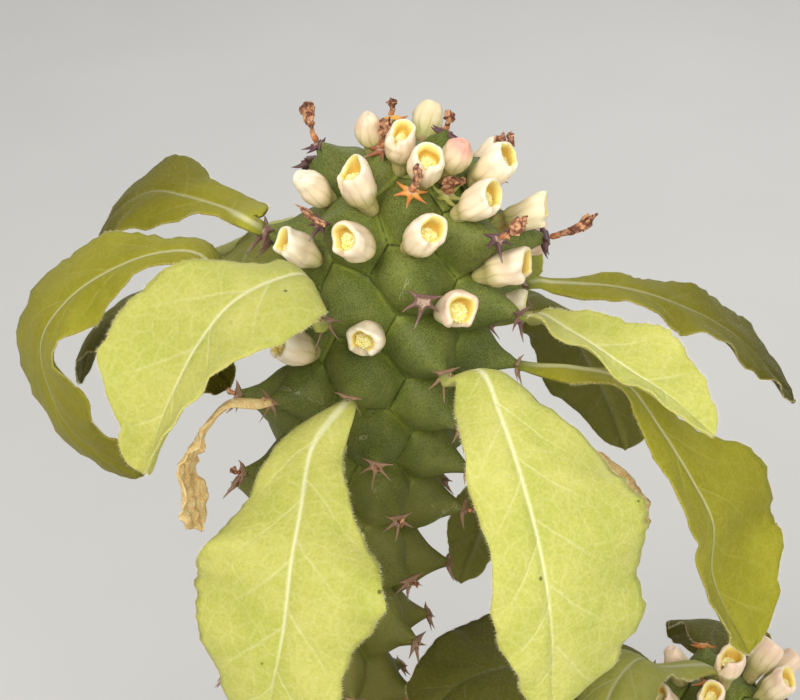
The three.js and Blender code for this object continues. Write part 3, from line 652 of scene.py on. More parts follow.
# %% Give every podarium its waist and its end
SWELL = 0.6
WAIST = 0.26
SKIN_END, UPPER_PART = 0.98, 0.45


def nearest_podarium(point, podaria, middles):
    """Number of the podarium that a point of the skin belongs to, and its share of the height."""
    best = (9e9, 0, 0)
    for _, k, _ in middles.find_n(point, 7):
        foot, height, _, out = podaria[k][:4]
        rise = (point - foot).dot(out)
        best = min(best, ((point - foot - out * rise).length, k, rise / height))
    return best[1:]


def shape_flanks(table, podaria, numbers, rises, on_lattice):
    """Draw the end of each podarium out to its star, and its flanks in to a waist."""
    axes = np.array([[*podaria[k][0], *(podaria[k][3] * podaria[k][1])] for k in numbers])
    feet, ways = axes[:, :3], axes[:, 3:]
    tops = np.array([rises[numbers == k].max(initial=0.5) for k in range(len(podaria))])[numbers]
    stretch = (SKIN_END - tops) * smoothstep(rises, UPPER_PART, 1) / smoothstep(tops, UPPER_PART, 1)
    shift = ways * (stretch * (rises > UPPER_PART) * on_lattice)[:, None]
    waist = smoothstep(rises, 0.2, 0.6) * (1 - smoothstep(rises, 0.75, 0.9))
    waist *= WAIST * (0.35 + 0.65 * smoothstep(numbers, 8, 20)) * on_lattice
    centres = feet + ways * rises[:, None] + shift
    table = table + shift
    return table + (centres - table) * waist[:, None]


def stem_skin(stem, node, name):
    """The finished skin of a stem, and the places of its podaria."""
    skin = copy_of(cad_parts[node], name)
    set_right(skin)
    podaria = [stem.podarium(k) for k in range(stem.count)]
    cut_spines(skin, podaria)
    lines = groove_lines(skin, stem)
    subdivide(skin, 2)
    table = points_of(skin)
    apart = np.array([lines.find(Vector(point))[2] for point in table])
    middles = tree_of_places([foot + out * height * 0.6 for foot, height, _, out, _, _ in podaria])
    owner = [nearest_podarium(Vector(point), podaria, middles) for point in table]
    numbers, rises = (np.array(column) for column in zip(*owner))
    normals = np.empty(table.size)
    skin.data.vertices.foreach_get("normal", normals)
    on_lattice = 1 - smoothstep(numbers, stem.count - 5, stem.count - 2)
    table = shape_flanks(table, podaria, numbers, rises, on_lattice)
    lift = SWELL * smoothstep(apart, 0.2, 2.2) * (1 - smoothstep(rises, 0.35, 0.8))
    lift -= GROOVE_DEPTH * np.exp(-((apart / 0.34) ** 2))
    lift = lift * on_lattice + 0.16 * rough(table, 3.5) + 0.07 * rough(table, 1.1, 2)
    move_points(skin, table + normals.reshape(-1, 3) * lift[:, None])
    mark(skin, "groove_mm", np.minimum(apart, 9))
    mark(skin, "rise", np.clip(rises, 0, 1))
    mark(skin, "age", numbers / main.count)
    return smooth(skin), podaria


main_skin, main_podaria = stem_skin(main, "main_stem", "main_stem_skin")
side_skin, side_podaria = stem_skin(offset, "side_stem", "side_stem_skin")
print(len(main_skin.data.polygons), "and", len(side_skin.data.polygons), "faces")

# %% [markdown]
# ### Finish of the skin
#
# Fresh skin is a soft dark green with a fine grain of pale papillae and dark speckles. Painted
# shade darkens a thin line down each groove, with a thin light line on both sides of each, and
# there are a few pale scratches. The ends of the podaria are browner. Old skin low on the stem
# turns olive and brown.

# %% Green skin
skin = Finish("stem_skin")
groove_mm, rise, age = skin.kept("groove_mm"), skin.kept("rise"), skin.kept("age")
patches = skin.noise(7, 3)
grain = skin.cells(0.25)
papilla = grain.step(0.42, 0.12)
speckle = skin.noise(0.34, 2)
scratch = skin.cells(9, "DISTANCE_TO_EDGE") + (skin.noise(2.4, 2) - 0.5) * 0.35
thin_line = scratch.size().step(0.014, 0.004) * skin.noise(11, 1).step(0.62, 0.7)
old_skin = skin.mix(colour(108, 108, 34), colour(130, 116, 58), skin.noise(3, 4))
green = skin.coats(
    skin.mix(colour(87, 98, 40), colour(115, 124, 54), patches.step(0.3, 0.7)),
    (colour(118, 132, 40), groove_mm.step(2.4, 0.5) * 0.4),
    (colour(106, 108, 40), skin.noise(16, 2).step(0.5, 0.75) * 0.5),
    (colour(54, 60, 18), speckle.step(0.45, 0.68) * 0.5),
    (colour(172, 178, 112), papilla * 0.5),
    (colour(158, 168, 66), groove_mm.step(0.8, 0.4) * patches.step(0.42, 0.6) * 0.35),
    # Painted shade: a dark thin line down the middle of each groove.
    (colour(38, 48, 12), groove_mm.step(0.34, 0.18) * 0.85),
    (colour(92, 74, 52), (rise + patches * 0.2).step(0.86, 1.0) * 0.6),
    (colour(196, 196, 160), thin_line * 0.4),
    (old_skin, (age + patches * 0.2).step(0.3, 0.95) * 0.85),
)
relief = skin.bump(papilla + speckle + skin.noise(0.9, 3) * 0.8, 0.08, 0.8)
skin_material = skin.finish(
    Base_Color=green,
    Roughness=0.46 + patches * 0.14,
    Normal=relief,
    Subsurface_Weight=0.12,
    Subsurface_Radius=(0.6, 1.0, 0.3),
    Subsurface_Scale=0.0015,
    Specular_IOR_Level=0.25,
)
for piece, node in ((main_skin, "main_stem"), (side_skin, "side_stem")):
    wear(piece, skin_material)
    place_in(piece, nodes=[node])

# %% [markdown]
# ## Leaves
#
# A leaf is a thin blade, broad near its end, with waved edges. Its middle vein is pale, and a side
# vein leaves it on each side about every centimetre. It could be drawn in sculpt mode, or bent
# with curves. Here a flat grid is laid out and each of its points is put on the leaf by the
# frame's own rule: along the midrib, out to the side by the half-width there, and then up and
# down with the waves. Between the side veins the blade swells a little, like a quilt. Solidify
# gives the thickness.
#
# Each leaf has a midrib, half-widths along it, and a roll and a cup in degrees. A turned leaf
# shows the light from behind, so its two finishes change sides: its duller underside finish is
# on top, partly where the underside shows and partly as painted shade. Shade is painted shade:
# how much darker the leaf is painted at its foot, middle and tip. The stalk starts a little
# inside its podarium.

# %% Places of the leaves, in millimetres
LEAF_ROWS, LEAF_COLUMNS = 60, 30
LEAF_WAVES = 7
STALK_THICKNESS, LEAF_THICKNESS, EDGE_THICKNESS = 1.9, 0.6, 0.26
FOOT_DEPTH, FOOT_REACH = 0.3, 2.6
# Shade gives painted shade at a leaf's foot, middle and tip; turned leaves wear their underside
# finish on top.
LEAVES = [
    dict(name="leaf_front_left", podarium=25, wave=1.3, seed=3, shade=[0.08, 0.08, 0.08],
         midrib=[(-11.8, -30, 217.7), (-13.4, -40, 213), (-14.6, -47, 208.4), (-15.7, -51, 200),
                 (-17.4, -53, 191.5), (-19, -53, 182)],
         left=[1.4, 4, 6, 9.5, 14.5, 10, 9.5, 0.8], right=[1.4, 4, 8.5, 12.5, 16.2, 15, 11, 0.8],
         cup=[10, 10, 10]),
    dict(name="leaf_front_right", podarium=20, wave=1.2, seed=8,
         midrib=[(12.8, -27, 228.5), (15.4, -35, 226.2), (17.9, -43, 221.7), (20.5, -50, 214),
                 (22.4, -54, 203), (23, -55, 188)],
         left=[1.4, 4, 9, 16, 19, 17, 15, 0.8], right=[1.4, 4.2, 6.5, 7.5, 7, 8.5, 6, 0.8],
         cup=[10, 10, 10]),
    dict(name="leaf_right_low", podarium=23, wave=1.2, seed=12, turned=True, shade=[0.3, 0.2, 0.15],
         midrib=[(28.7, -9, 218.4), (35.5, -13, 218.9), (41.5, -17, 212.3), (46.3, -20, 205.3),
                 (49.9, -22, 198.4), (50.5, -23, 189), (57.5, -24, 174)],
         left=[1.5, 1.5, 3.5, 8, 14, 17, 13, 0.8], right=[1.5, 3, 3, 5, 8, 5, 4, 0.8],
         roll=[0, 5, 15], cup=[5, -5, -20]),
    dict(name="leaf_right", podarium=15, wave=0.7, seed=5, shade=[0.6, 0, 0],
         midrib=[(22.5, -16, 232), (28, -21, 231.2), (35.2, -28, 229.3), (40.4, -32, 227.5),
                 (46.3, -36, 223.5)],
         left=[1.5, 2, 4, 7, 9, 8, 5, 0.8], right=[1.5, 2, 4, 3.5, 4, 5, 3, 0.8],
         cup=[-20, -20, -20]),
    dict(name="leaf_right_high", podarium=18, wave=1, seed=21, turned=True, shade=[0, 0.55, 1],
         midrib=[(25.5, 9, 224), (36.7, 13, 221.5), (46.8, 16, 217), (58.3, 18, 209.5),
                 (70, 19, 195.7)],
         left=[1.5, 2.5, 3.5, 6.5, 7.8, 11, 11, 0.8], right=[1.5, 3, 5, 7.5, 8, 8, 5, 0.8],
         roll=[3, 8, 12], cup=[0, 0, 0]),
    dict(name="leaf_left", podarium=17, wave=0.8, seed=14, shade=[0.25, 0.12, 0.05],
         midrib=[(-12.7, -24, 243), (-16, -27, 244.4), (-22.7, -31, 242.6), (-27.6, -34, 237.4),
                 (-30.5, -36, 232.5), (-33.4, -37, 226), (-35.8, -37, 217.6)],
         left=[1.4, 3.5, 9, 11, 9, 6, 4.5, 0.8], right=[1.4, 3.8, 5, 9, 13.5, 12.5, 7, 0.8],
         roll=[-10, -10, -10], cup=[25, -5, -45]),
    dict(name="leaf_left_arched", podarium=22, wave=1.2, seed=17, turned=True,
         shade=[0.3, 0.2, 0.6],
         midrib=[(-29.6, -8, 238), (-36, -6, 237.5), (-44, -4, 233.5), (-51, -3, 228),
                 (-56, -3, 220.5), (-55.5, -4, 212.5), (-51.5, -6, 204.5), (-40.7, -9, 198.6)],
         left=[1.5, 3.5, 4, 8, 8, 12, 9, 0.8], right=[1.5, 5, 6, 11, 15, 12, 9, 0.8],
         roll=[0, -15, -60], cup=[5, 5, 5]),
    dict(name="leaf_left_high", podarium=14, wave=0.8, seed=9, turned=True, shade=[0, 0.6, 1],
         midrib=[(-26.5, 4.5, 240), (-33, 9, 240), (-39.5, 15, 238), (-46, 19, 232.5),
                 (-51, 22, 223)],
         left=[1.5, 1.5, 3, 7.5, 10.5, 10, 7, 0.8], right=[1.5, 5, 5, 6.5, 10, 12, 9, 0.8],
         roll=[-5, -15, -35], cup=[5, 5, 5]),
    dict(name="leaf_back_left", podarium=24, wave=1, seed=30,
         midrib=[(-17, 28, 226), (-22, 36, 221), (-27, 43, 213), (-30, 48, 202)],
         half=[1.5, 3, 6, 9, 11, 10, 6, 0.8]),
    dict(name="leaf_back", podarium=21, wave=1.2, seed=33,
         midrib=[(9, 31, 227), (12, 41, 223), (15, 49, 214), (16, 54, 202), (17, 56, 190)],
         half=[1.5, 3, 7, 11, 13, 12, 7, 0.8]),
    dict(name="leaf_left_low", podarium=27, wave=0.6, seed=36, shade=[1, 1, 1],
         midrib=[(-28, 5, 220), (-30.5, 6.5, 216), (-31, 8, 210), (-28, 9, 204.5)],
         half=[1.4, 2.5, 4.5, 6, 7, 6, 4, 0.8]),
    dict(name="leaf_left_lowest", podarium=32, wave=0.8, seed=39, shade=[0.8, 0.85, 0.85],
         midrib=[(-29, 22, 214.5), (-41, 25, 213), (-52, 26, 207), (-56, 25, 196)],
         half=[1.4, 3, 6, 9, 11, 10, 7, 0.8]),
    dict(name="leaf_back_right", podarium=26, wave=1, seed=42, shade=[0.7, 0.7, 0.7],
         midrib=[(24, 19, 216.5), (30, 22, 210), (35, 24, 200), (39, 25, 191), (42, 25, 182)],
         half=[1.4, 4, 8, 11, 12, 11, 7, 0.8], roll=[0, -25, -40], cup=[5, 5, 5]),
    dict(name="leaf_right_lowest", podarium=39, wave=0.6, seed=45, shade=[0.7, 0.7, 0.7],
         midrib=[(19, 10, 195), (19, 13.5, 185), (16, 16, 172), (12, 16.5, 158.5)],
         half=[1.3, 2.5, 4.5, 6.5, 7.5, 7, 4.5, 0.8]),
    dict(name="side_leaf_left", podarium=7, wave=0.8, seed=60, stem=offset, shade=[0.9, 0.85, 0.8],
         midrib=[(34, 5, 150), (28, 1, 153.5), (20, -6, 157), (11.5, -14, 160), (4.5, -23, 159.5)],
         left=[1.4, 4, 7, 10, 12, 12, 9, 2], right=[1.4, 4, 8, 11.5, 12, 10, 7.5, 3],
         roll=[0, -15, -15], cup=[0, 5, 5]),
    dict(name="side_leaf_front_left", podarium=2, wave=1.2, seed=63, stem=offset,
         shade=[0.5, 0.5, 0.5],
         midrib=[(46.5, -4, 155), (42, -8, 160), (37, -14, 158), (34, -20, 148), (33, -24, 136)],
         half=[1.4, 2.5, 4, 6, 8, 8, 6, 0.8], cup=[0, 25, 35]),
    dict(name="side_leaf_front_right", podarium=8, wave=1.1, seed=66, stem=offset,
         midrib=[(75, -19, 137), (80, -28, 133), (83, -34, 123), (84, -37, 110)],
         half=[1.4, 3, 6, 10, 12, 11, 7, 0.8]),
    dict(name="side_leaf_right", podarium=11, wave=1.1, seed=69, stem=offset, frill=0.4,
         midrib=[(83, 4, 129), (92, 6, 125), (98, 7, 115), (100, 8, 103)],
         half=[1.4, 3, 6, 10, 12, 11, 7, 0.8]),
    dict(name="side_leaf_back", podarium=9, wave=1, seed=72, stem=offset, shade=[0.9, 0.9, 0.9],
         midrib=[(62, 31, 135), (65, 40, 131), (67, 47, 121), (68, 50, 110)],
         half=[1.4, 3, 6, 9, 11, 10, 6, 0.8]),
    dict(name="side_leaf_back_left", podarium=12, wave=1, seed=75, stem=offset,
         shade=[0.9, 0.9, 0.9],
         midrib=[(37, 25, 137), (31, 34, 134), (26, 41, 126), (23, 45, 114)],
         half=[1.4, 3, 6, 9, 11, 10, 6, 0.8]),
]
DRY_LEAVES = [
    dict(name="dry_leaf_left", podarium=30, wave=0.5, seed=50,
         midrib=[(-25.5, -18, 218), (-29.5, -19.5, 214), (-32.3, -19.5, 208), (-32, -19, 201),
                 (-31, -18, 194.7)],
         half=[1, 1, 1.4, 2.2, 3, 3.4, 3, 0.8], roll=[0, 35, 50], cup=[30, 15, 10]),
    dict(name="dry_leaf_right", podarium=31, wave=0.5, seed=53,
         midrib=[(26, -4, 205), (33, -8, 201), (38, -10, 197), (41.5, -11, 190)],
         half=[1, 1, 1.4, 2.2, 3, 3.2, 3, 0.8], roll=[0, 10, 20], cup=[35, 30, 20]),
]
print(len(LEAVES), "green leaves and", len(DRY_LEAVES), "withered ones")


# %% The rows of a blade along its midrib
def two_turns(seed):
    """The two phases of a leaf's waves, by the same steps as in the frame."""
    turns = []
    for _ in range(2):
        seed = (seed * 1664525 + 1013904223) % 4294967296
        turns.append(seed / 4294967296 * 2 * math.pi)
    return turns


def midrib_of(leaf, podarium):
    """The midrib, which starts inside the podarium and first follows its axis."""
    foot, height, _, out, _, _ = podarium
    start = foot + out * (height - FOOT_DEPTH)
    return through([start, start + out * FOOT_REACH, *(Vector(point) for point in leaf["midrib"])])


class Blade:
    """The rows of a leaf from foot to tip: centre, leftward and upward direction, half-widths."""

    def __init__(self, leaf, shares):
        stem = leaf.get("stem", main)
        midrib = midrib_of(leaf, stem.podarium(leaf["podarium"]))
        heading = midrib.place(1) - midrib.place(0)
        leftward = Vector((-heading.y, heading.x, 0)).normalized()
        rows = []
        for share in shares:
            tangent = midrib.heading(share)
            side = (leftward - tangent * tangent.dot(leftward)).normalized()
            roll = math.radians(value_at(leaf.get("roll", [0, 0, 0]), share))
            left = side * math.cos(roll) + tangent.cross(side).normalized() * math.sin(roll)
            rows.append((midrib.place(share), left, tangent.cross(left).normalized()))
        self.centre, self.left, self.up = (np.array(column) for column in zip(*rows))
        self.cup = np.radians([value_at(leaf.get("cup", [0, 10, 10]), s) for s in shares])
        self.widths = [
            np.array([value_at(leaf.get(name, leaf.get("half")), s) for s in shares])
            for name in ("right", "left")
        ]
        self.length = midrib.length


# %% Half-width, frill and thickness of a blade
LAST = 1 - 1 / 9  # the last row of the frame's blades before the tip, where the round end starts
FRILL_SIZES = (3.2, 1.3)
SIDES_APART = 40


def half_width(leaf, blade, left_side, along):
    """Half the width at each place, with a round tip and a slim stalk."""
    width = np.where(left_side, blade.widths[1][:, None], blade.widths[0][:, None])
    end = np.clip((along - LAST) / (1 - LAST), 0, 1)
    at_last = [value_at(leaf.get(name, leaf.get("half")), LAST) for name in ("right", "left")]
    rounded = np.where(left_side, at_last[1], at_last[0]) * (1 - end**2.2) ** 0.8
    width = np.where(end > 0, np.maximum(rounded, 0.05), width)
    return width * (0.75 + 0.25 * smoothstep(along, 0, 0.08))


def frills(leaf, length, left_side, out):
    """Coarse and fine noise along the two edges, which frills them and nibbles their outline."""
    places = np.stack([length, left_side * SIDES_APART, 0 * out], -1).reshape(-1, 3)
    noises = [rough(places, size, leaf["seed"] + i) for i, size in enumerate(FRILL_SIZES)]
    return [values.reshape(out.shape) for values in noises]


def blade_thickness(along, out, rib):
    """Thick in the stalk and over the rib, thin at the edge."""
    thin = smoothstep(along, 0, 0.3)
    thickness = STALK_THICKNESS + (LEAF_THICKNESS - STALK_THICKNESS) * thin
    thickness = thickness * (1 - 0.55 * (1 - thin) * out**2)
    thickness = thickness + (EDGE_THICKNESS - thickness) * smoothstep(out, 0.75, 1) * thin
    thickness = thickness + 0.55 * rib * thin * (1 - along)
    return thickness * (0.5 + 0.5 * smoothstep(along, 0, 0.12))


# %% The middle surface of a blade
MM_PER_VEIN = 10


def blade_surface(leaf, across, along):
    """Middle surface of a blade at a table of places, with the marks that its finish reads."""
    blade = Blade(leaf, along[:, 0])
    left_side = (across > 0).astype(int)
    out = np.abs(across)
    full = smoothstep(along, 0.08, 0.3)
    coarse, fine = frills(leaf, along * blade.length, left_side, out)
    turns = np.where(left_side, *two_turns(leaf["seed"]))
    wave = leaf["wave"] * np.sin(LEAF_WAVES * along * np.pi + turns) * out**2
    wave = wave * np.sin(np.pi * along)
    wave += full * (coarse + 0.35 * fine) * out**4 * leaf.get("frill", 1)
    width = half_width(leaf, blade, left_side, along)
    width = width * (1 + full * (0.06 * np.roll(coarse, 3, 0) + 0.03 * fine) * out**2)
    veins = max(round(blade.length / MM_PER_VEIN), 3)
    phase = (along - 0.24 * out**0.85 * np.minimum(width / 12, 1)) * veins + 0.35 * left_side
    quilt = 0.36 * leaf.get("quilt", 1) * np.abs(np.sin(np.pi * phase)) ** 0.8
    quilt *= full * smoothstep(out, 0.03, 0.25) * (1 - 0.6 * out) * np.minimum(width / 8, 1)
    reach = width * out
    rib = np.exp(-((reach / (0.9 - 0.4 * along)) ** 2)) * full
    rise = wave + quilt - 0.3 * rib - reach * np.sin(blade.cup[:, None] * out)
    sideways = (np.sign(across) * reach * np.cos(blade.cup[:, None] * out))[..., None]
    surface = blade.centre[:, None] + blade.left[:, None] * sideways
    surface = surface + blade.up[:, None] * rise[..., None]
    marks = {
        "side_mm": reach,
        "edge_mm": width * (1 - out) + 2 * (1 - smoothstep(along, 0.02, 0.12)),
        "vein": phase + 20,
        "along": along,
        # Painted shade: how much darker the blade is painted at its foot, middle and tip.
        "shade": np.interp(along, [0, 0.5, 1], leaf.get("shade", [0, 0, 0])),
    }
    return surface, blade_thickness(along, out, rib), marks


# %% From a flat grid to a blade
def leaf_blade(leaf):
    """A blade with its thickness: the grid's columns lie across it and its rows along it."""
    bpy.ops.mesh.primitive_grid_add(x_subdivisions=LEAF_COLUMNS, y_subdivisions=LEAF_ROWS, size=2)
    blade = bpy.context.object
    table = points_of(blade) * MM
    columns, rows = LEAF_COLUMNS + 1, LEAF_ROWS + 1
    order = np.lexsort((table[:, 0].round(5), table[:, 1].round(5)))
    across = table[order, 0].reshape(rows, columns)
    along = (table[order, 1].reshape(rows, columns) + 1) / 2
    across = -np.sign(across) * np.abs(across) ** 1.25
    along = 1 - (1 - along) ** 1.12
    surface, thickness, marks = blade_surface(leaf, across, along)
    placed = np.empty_like(table)
    placed[order] = surface.reshape(-1, 3)
    move_points(blade, placed)
    for name, values in marks.items():
        column = np.empty(len(table))
        column[order] = values.ravel()
        mark(blade, name, column)
    group = blade.vertex_groups.new(name="thickness")
    shares = (thickness / STALK_THICKNESS).ravel()
    for i, share in zip(order, shares):
        group.add([int(i)], float(share), "REPLACE")
    settings = dict(thickness=STALK_THICKNESS * MM, offset=0, vertex_group="thickness")
    modify(blade, "SOLIDIFY", material_offset=1, material_offset_rim=0, **settings)
    return smooth(settle(blade, leaf["name"] + "_blade"))


blades = {leaf["name"]: leaf_blade(leaf) for leaf in LEAVES}
print(len(blades), "blades")

# %% [markdown]
# ### Finish of the leaves
#
# The blade is a soft yellow green. The middle vein and the side veins are pale, a net of fine
# veins lies between them, the thin edge is a little brown, and a few dark specks are scattered
# about. The underside is duller and more olive. Light comes through.


# %% Leaf green, above and below
def leaf_finish(name, light, deep, vein_tone):
    leaf = Finish(name)
    side_mm, edge_mm = leaf.kept("side_mm"), leaf.kept("edge_mm")
    vein, along, shade = leaf.kept("vein"), leaf.kept("along"), leaf.kept("shade")
    blotch = leaf.noise(9, 3)
    fine = leaf.noise(0.5, 2)
    wobble = (leaf.noise(3.5, 2) - 0.5) * 0.1
    off_vein = ((vein + wobble + 0.5).fraction() - 0.5).size()
    side_vein = off_vein.step(0.06, 0) * side_mm.step(13, 1) * edge_mm.step(0.6, 4)
    midrib = (side_mm - (0.5 - along * 0.4)).step(0.36, -0.3) * along.step(1.05, 0.6)
    network = (leaf.cells(2.6, "DISTANCE_TO_EDGE") + (fine - 0.5) * 0.1).step(0.12, 0.02)
    sparkle = leaf.cells(0.3).step(0.3, 0.1)
    rim = (edge_mm + (leaf.noise(2.2, 2) - 0.5) * 0.7).step(0.36, 0.05)
    speck = leaf.cells(5.5).step(0.075, 0.045) * leaf.noise(13, 1).step(0.45, 0.6)
    tone = leaf.coats(
        leaf.mix(deep, light, (blotch * 0.55 + fine * 0.45).step(0.28, 0.72)),
        (vein_tone, network * 0.1),
        (vein_tone, side_vein * 0.3),
        (leaf.mix(vein_tone, colour(242, 240, 204), 0.6), midrib * 0.7),
        (vein_tone, sparkle * 0.26),
        # Painted shade: darker olive where a leaf gets less light, by its shade marks.
        (colour(66, 60, 0), shade * (0.85 + fine * 0.3)),
        (colour(120, 128, 54), along.step(0.07, 0.0) * 0.8),
        (colour(196, 166, 106), rim * 0.16),
        (colour(70, 74, 34), speck * 0.75),
    )
    height = fine * 0.9 + leaf.noise(1.6, 2) - (side_vein + midrib + network * 0.3) * 0.5
    return leaf.finish(
        Base_Color=tone,
        Roughness=0.58 + fine * 0.14,
        Normal=leaf.bump(height, 0.15, 0.8),
        Subsurface_Weight=0.22,
        Subsurface_Radius=(0.9, 1.1, 0.25),
        Subsurface_Scale=0.0012,
        Sheen_Weight=0.06,
        Sheen_Roughness=0.4,
        Specular_IOR_Level=0.1,
    )


leaf_top = leaf_finish(
    "leaf_above", colour(200, 197, 110), colour(172, 176, 78), colour(228, 226, 168)
)
leaf_back = leaf_finish(
    "leaf_below", colour(168, 163, 52), colour(147, 142, 36), colour(194, 190, 96)
)
down_hair = Finish("leaf_hair")
hair_tone = down_hair.mix(colour(172, 170, 78), colour(232, 228, 182), down_hair.kept("fringe"))
hair_material = down_hair.finish(Base_Color=hair_tone, Roughness=0.6)

# %% [markdown]
# ### Velvet
#
# Every leaf has a fringe of fine pale hairs on its edge and short green ones all over. The packed
# model can't keep hair curves, so each hair is a slim pyramid of its own. They are laid by code,
# because there are thousands.

# %% Grow the hairs of a blade
HAIR_RADIUS, HAIR_LENGTH = 0.016, 0.5
HAIRS_PER_SQUARE_MM, FRINGE_PER_MM = 1.3, 10


def hairs(name, roots, directions, lengths):
    """Slim closed pyramids, all numbers in millimetres."""
    directions = directions / np.linalg.norm(directions, axis=1)[:, None]
    helper = np.where(np.abs(directions[:, 2:]) < 0.9, [[0.0, 0.0, 1.0]], [[1.0, 0.0, 0.0]])
    first = np.cross(directions, helper)
    first /= np.linalg.norm(first, axis=1)[:, None]
    second = np.cross(directions, first)
    corners = [
        roots + HAIR_RADIUS * (first * math.cos(turn) + second * math.sin(turn))
        for turn in (0, 2 * math.pi / 3, 4 * math.pi / 3)
    ]
    table = np.stack([*corners, roots + directions * lengths[:, None]], 1).reshape(-1, 3)
    start = np.arange(len(roots))[:, None] * 4
    faces = np.concatenate([start + f for f in ([0, 1, 3], [1, 2, 3], [2, 0, 3], [0, 2, 1])])
    mesh = bpy.data.meshes.new(name)
    mesh.from_pydata((table * MM).tolist(), [], faces.tolist())
    mesh.validate()
    fuzz = bpy.data.objects.new(name, mesh)
    bpy.context.scene.collection.objects.link(fuzz)
    return fuzz


def grow(draw, corners, normals, spread, lengths):
    """A hair at a random place on each of some faces: root, way and length."""
    u, v = draw.random((2, len(normals), 1))
    a, b, c, d = corners
    roots = (a * (1 - u) + b * u) * (1 - v) + (d * (1 - u) + c * u) * v
    lean = draw.normal(0, spread, (len(normals), 3))
    return roots, normals + lean, HAIR_LENGTH * draw.uniform(*lengths, len(normals))


def velvet(blade, seed):
    """Hairs over a blade, by the areas of its faces, and a fringe on its rim."""
    draw = np.random.default_rng(seed)
    table = points_of(blade)
    edge, along = marked(blade, "edge_mm"), marked(blade, "along")
    faces = [p for p in blade.data.polygons if len(p.vertices) == 4]
    quads = np.array([p.vertices[:] for p in faces])
    normals = np.array([p.normal[:] for p in faces])
    areas = np.array([p.area for p in faces]) / MM**2
    at_rim = edge[quads].max(1) < 1e-3
    weights = np.where(at_rim, 0, areas) * smoothstep(along[quads].mean(1), 0.04, 0.2)
    count = int(weights.sum() * HAIRS_PER_SQUARE_MM)
    chosen = draw.choice(len(quads), count, p=weights / weights.sum())
    short = grow(draw, table[quads[chosen].T], normals[chosen], 0.45, (0.45, 1))
    rim = np.nonzero(at_rim)[0]
    count = int(areas[rim].sum() / EDGE_THICKNESS * FRINGE_PER_MM)
    picked = rim[draw.choice(len(rim), count, p=areas[rim] / areas[rim].sum())]
    fringe = grow(draw, table[quads[picked].T], normals[picked], 0.35, (0.6, 1.25))
    roots, ways, lengths = (np.concatenate(parts) for parts in zip(short, fringe))
    fuzz = hairs(blade.name + "_velvet", roots, ways, lengths)
    mark(fuzz, "fringe", np.repeat(np.arange(len(roots)) >= len(chosen), 4).astype(float))
    return wear(fuzz, hair_material)


for leaf in LEAVES:
    # A turned leaf wears its underside finish on top, partly as painted shade for a leaf lit from
    # behind.
    sides = (leaf_back, leaf_top) if leaf.get("turned") else (leaf_top, leaf_back)
    blade = wear(blades[leaf["name"]], *sides)
    blade = join([blade, velvet(blade, leaf["seed"])], blade.name)
    place_in(blade, nodes=[leaf["name"]])

# %% [markdown]
# ## Spine stars
#
# Every podarium ends in a hard plate with the round scar of a fallen leaf and five spines, the
# lowest the longest. Spines could be cones stuck on, but on the plant they grow out of one plate.
# So one star is pulled out of a ten-sided disc: its corners are turned so that five sides face the
# spines, each of those is extruded three times towards a point, and the scar is inset in the top.
# The star is then copied to every podarium, a little different each time. Old stars are smaller,
# with slimmer spines that claw outwards. One more star stands between two podaria of the crown.
# Each step of a spine has a share of its length, a rise in millimetres, and a scale for its end.

# %% One star, with x down the stem and z outwards
SPINES = [(0, 4.6), (57, 3.6), (113, 3.1), (247, 3.1), (303, 3.6)]
SPINE_HALF_WIDTH = 23
PLATE_RADIUS, PLATE_THICKNESS, PLATE_MIDDLE = 1.35, 1.1, -0.75
CORNER_STEP = 36
SPINE_STEPS = ((0.28, 0.05, 0.76), (0.36, 0.05, 0.62), (0.36, 0.25, 0.16))


def pull(step, share):
    """Extrude what is selected by a step in millimetres, and scale its end."""
    bpy.ops.mesh.extrude_region_move(TRANSFORM_OT_translate={"value": [MM * s for s in step]})
    bpy.ops.transform.resize(value=(share, share, share))


def spine_star():
    bpy.ops.mesh.primitive_cylinder_add(
        vertices=10,
        radius=PLATE_RADIUS * MM,
        depth=PLATE_THICKNESS * MM,
        location=(0, 0, PLATE_MIDDLE * MM),
    )
    star = settle(bpy.context.object, "spine_star")
    corners = sorted(turn + s * SPINE_HALF_WIDTH for turn, _ in SPINES for s in (-1, 1))
    table = points_of(star)
    for i, (x, y, z) in enumerate(table):
        number = round(math.degrees(math.atan2(y, x)) / CORNER_STEP - 0.5) % 10
        turn = math.radians(corners[number])
        radius = PLATE_RADIUS * (0.78 if z < -1 else 1)
        table[i] = radius * math.cos(turn), radius * math.sin(turn), z
    move_points(star, table)
    for turn, length in SPINES:
        way = Vector((math.cos(math.radians(turn)), math.sin(math.radians(turn)), 0))

        def at_spine(face):
            flat = Vector((face.center.x, face.center.y, 0)).normalized()
            return face.normal.dot(way) > 0.9 and flat.dot(way) > 0.98

        choose(star, "faces", at_spine)
        span = length - PLATE_RADIUS * 0.95
        for part, rise, share in SPINE_STEPS:
            pull(way * span * part + Vector((0, 0, rise)), share)
        bpy.ops.object.mode_set(mode="OBJECT")
    choose(star, "faces", lambda face: face.normal.z > 0.9 and face.center.z > -0.3 * MM)
    bpy.ops.mesh.inset(thickness=0.5 * MM)
    pull((-0.1, 0, 0.32), 0.95)
    bpy.ops.mesh.inset(thickness=0.16 * MM)
    pull((0, 0, -0.14), 0.85)
    bpy.ops.object.mode_set(mode="OBJECT")
    set_right(star)
    table = points_of(star)
    reach = np.hypot(table[:, 0], table[:, 1])
    mark(star, "reach", np.clip((reach - 1.2) / 3, 0, 1))
    mark(star, "scar", ((reach < 0.98) & (table[:, 2] > -0.1)).astype(float))
    return star


coarse_star = spine_star()
fine_star = subdivide(copy_of(coarse_star, "fine_star"), 1)
star_faces = [len(star.data.polygons) for star in (coarse_star, fine_star)]
print(star_faces[0], "faces in a star,", star_faces[1], "in a fine one")


# %% A star on every podarium
FINE_STARS = 34
OLD_FROM, OLD_BY = 12, 18
LEAST_SIZE = 0.82
SLIM_YOUNG, SLIM_OLD = 0.85, 0.55


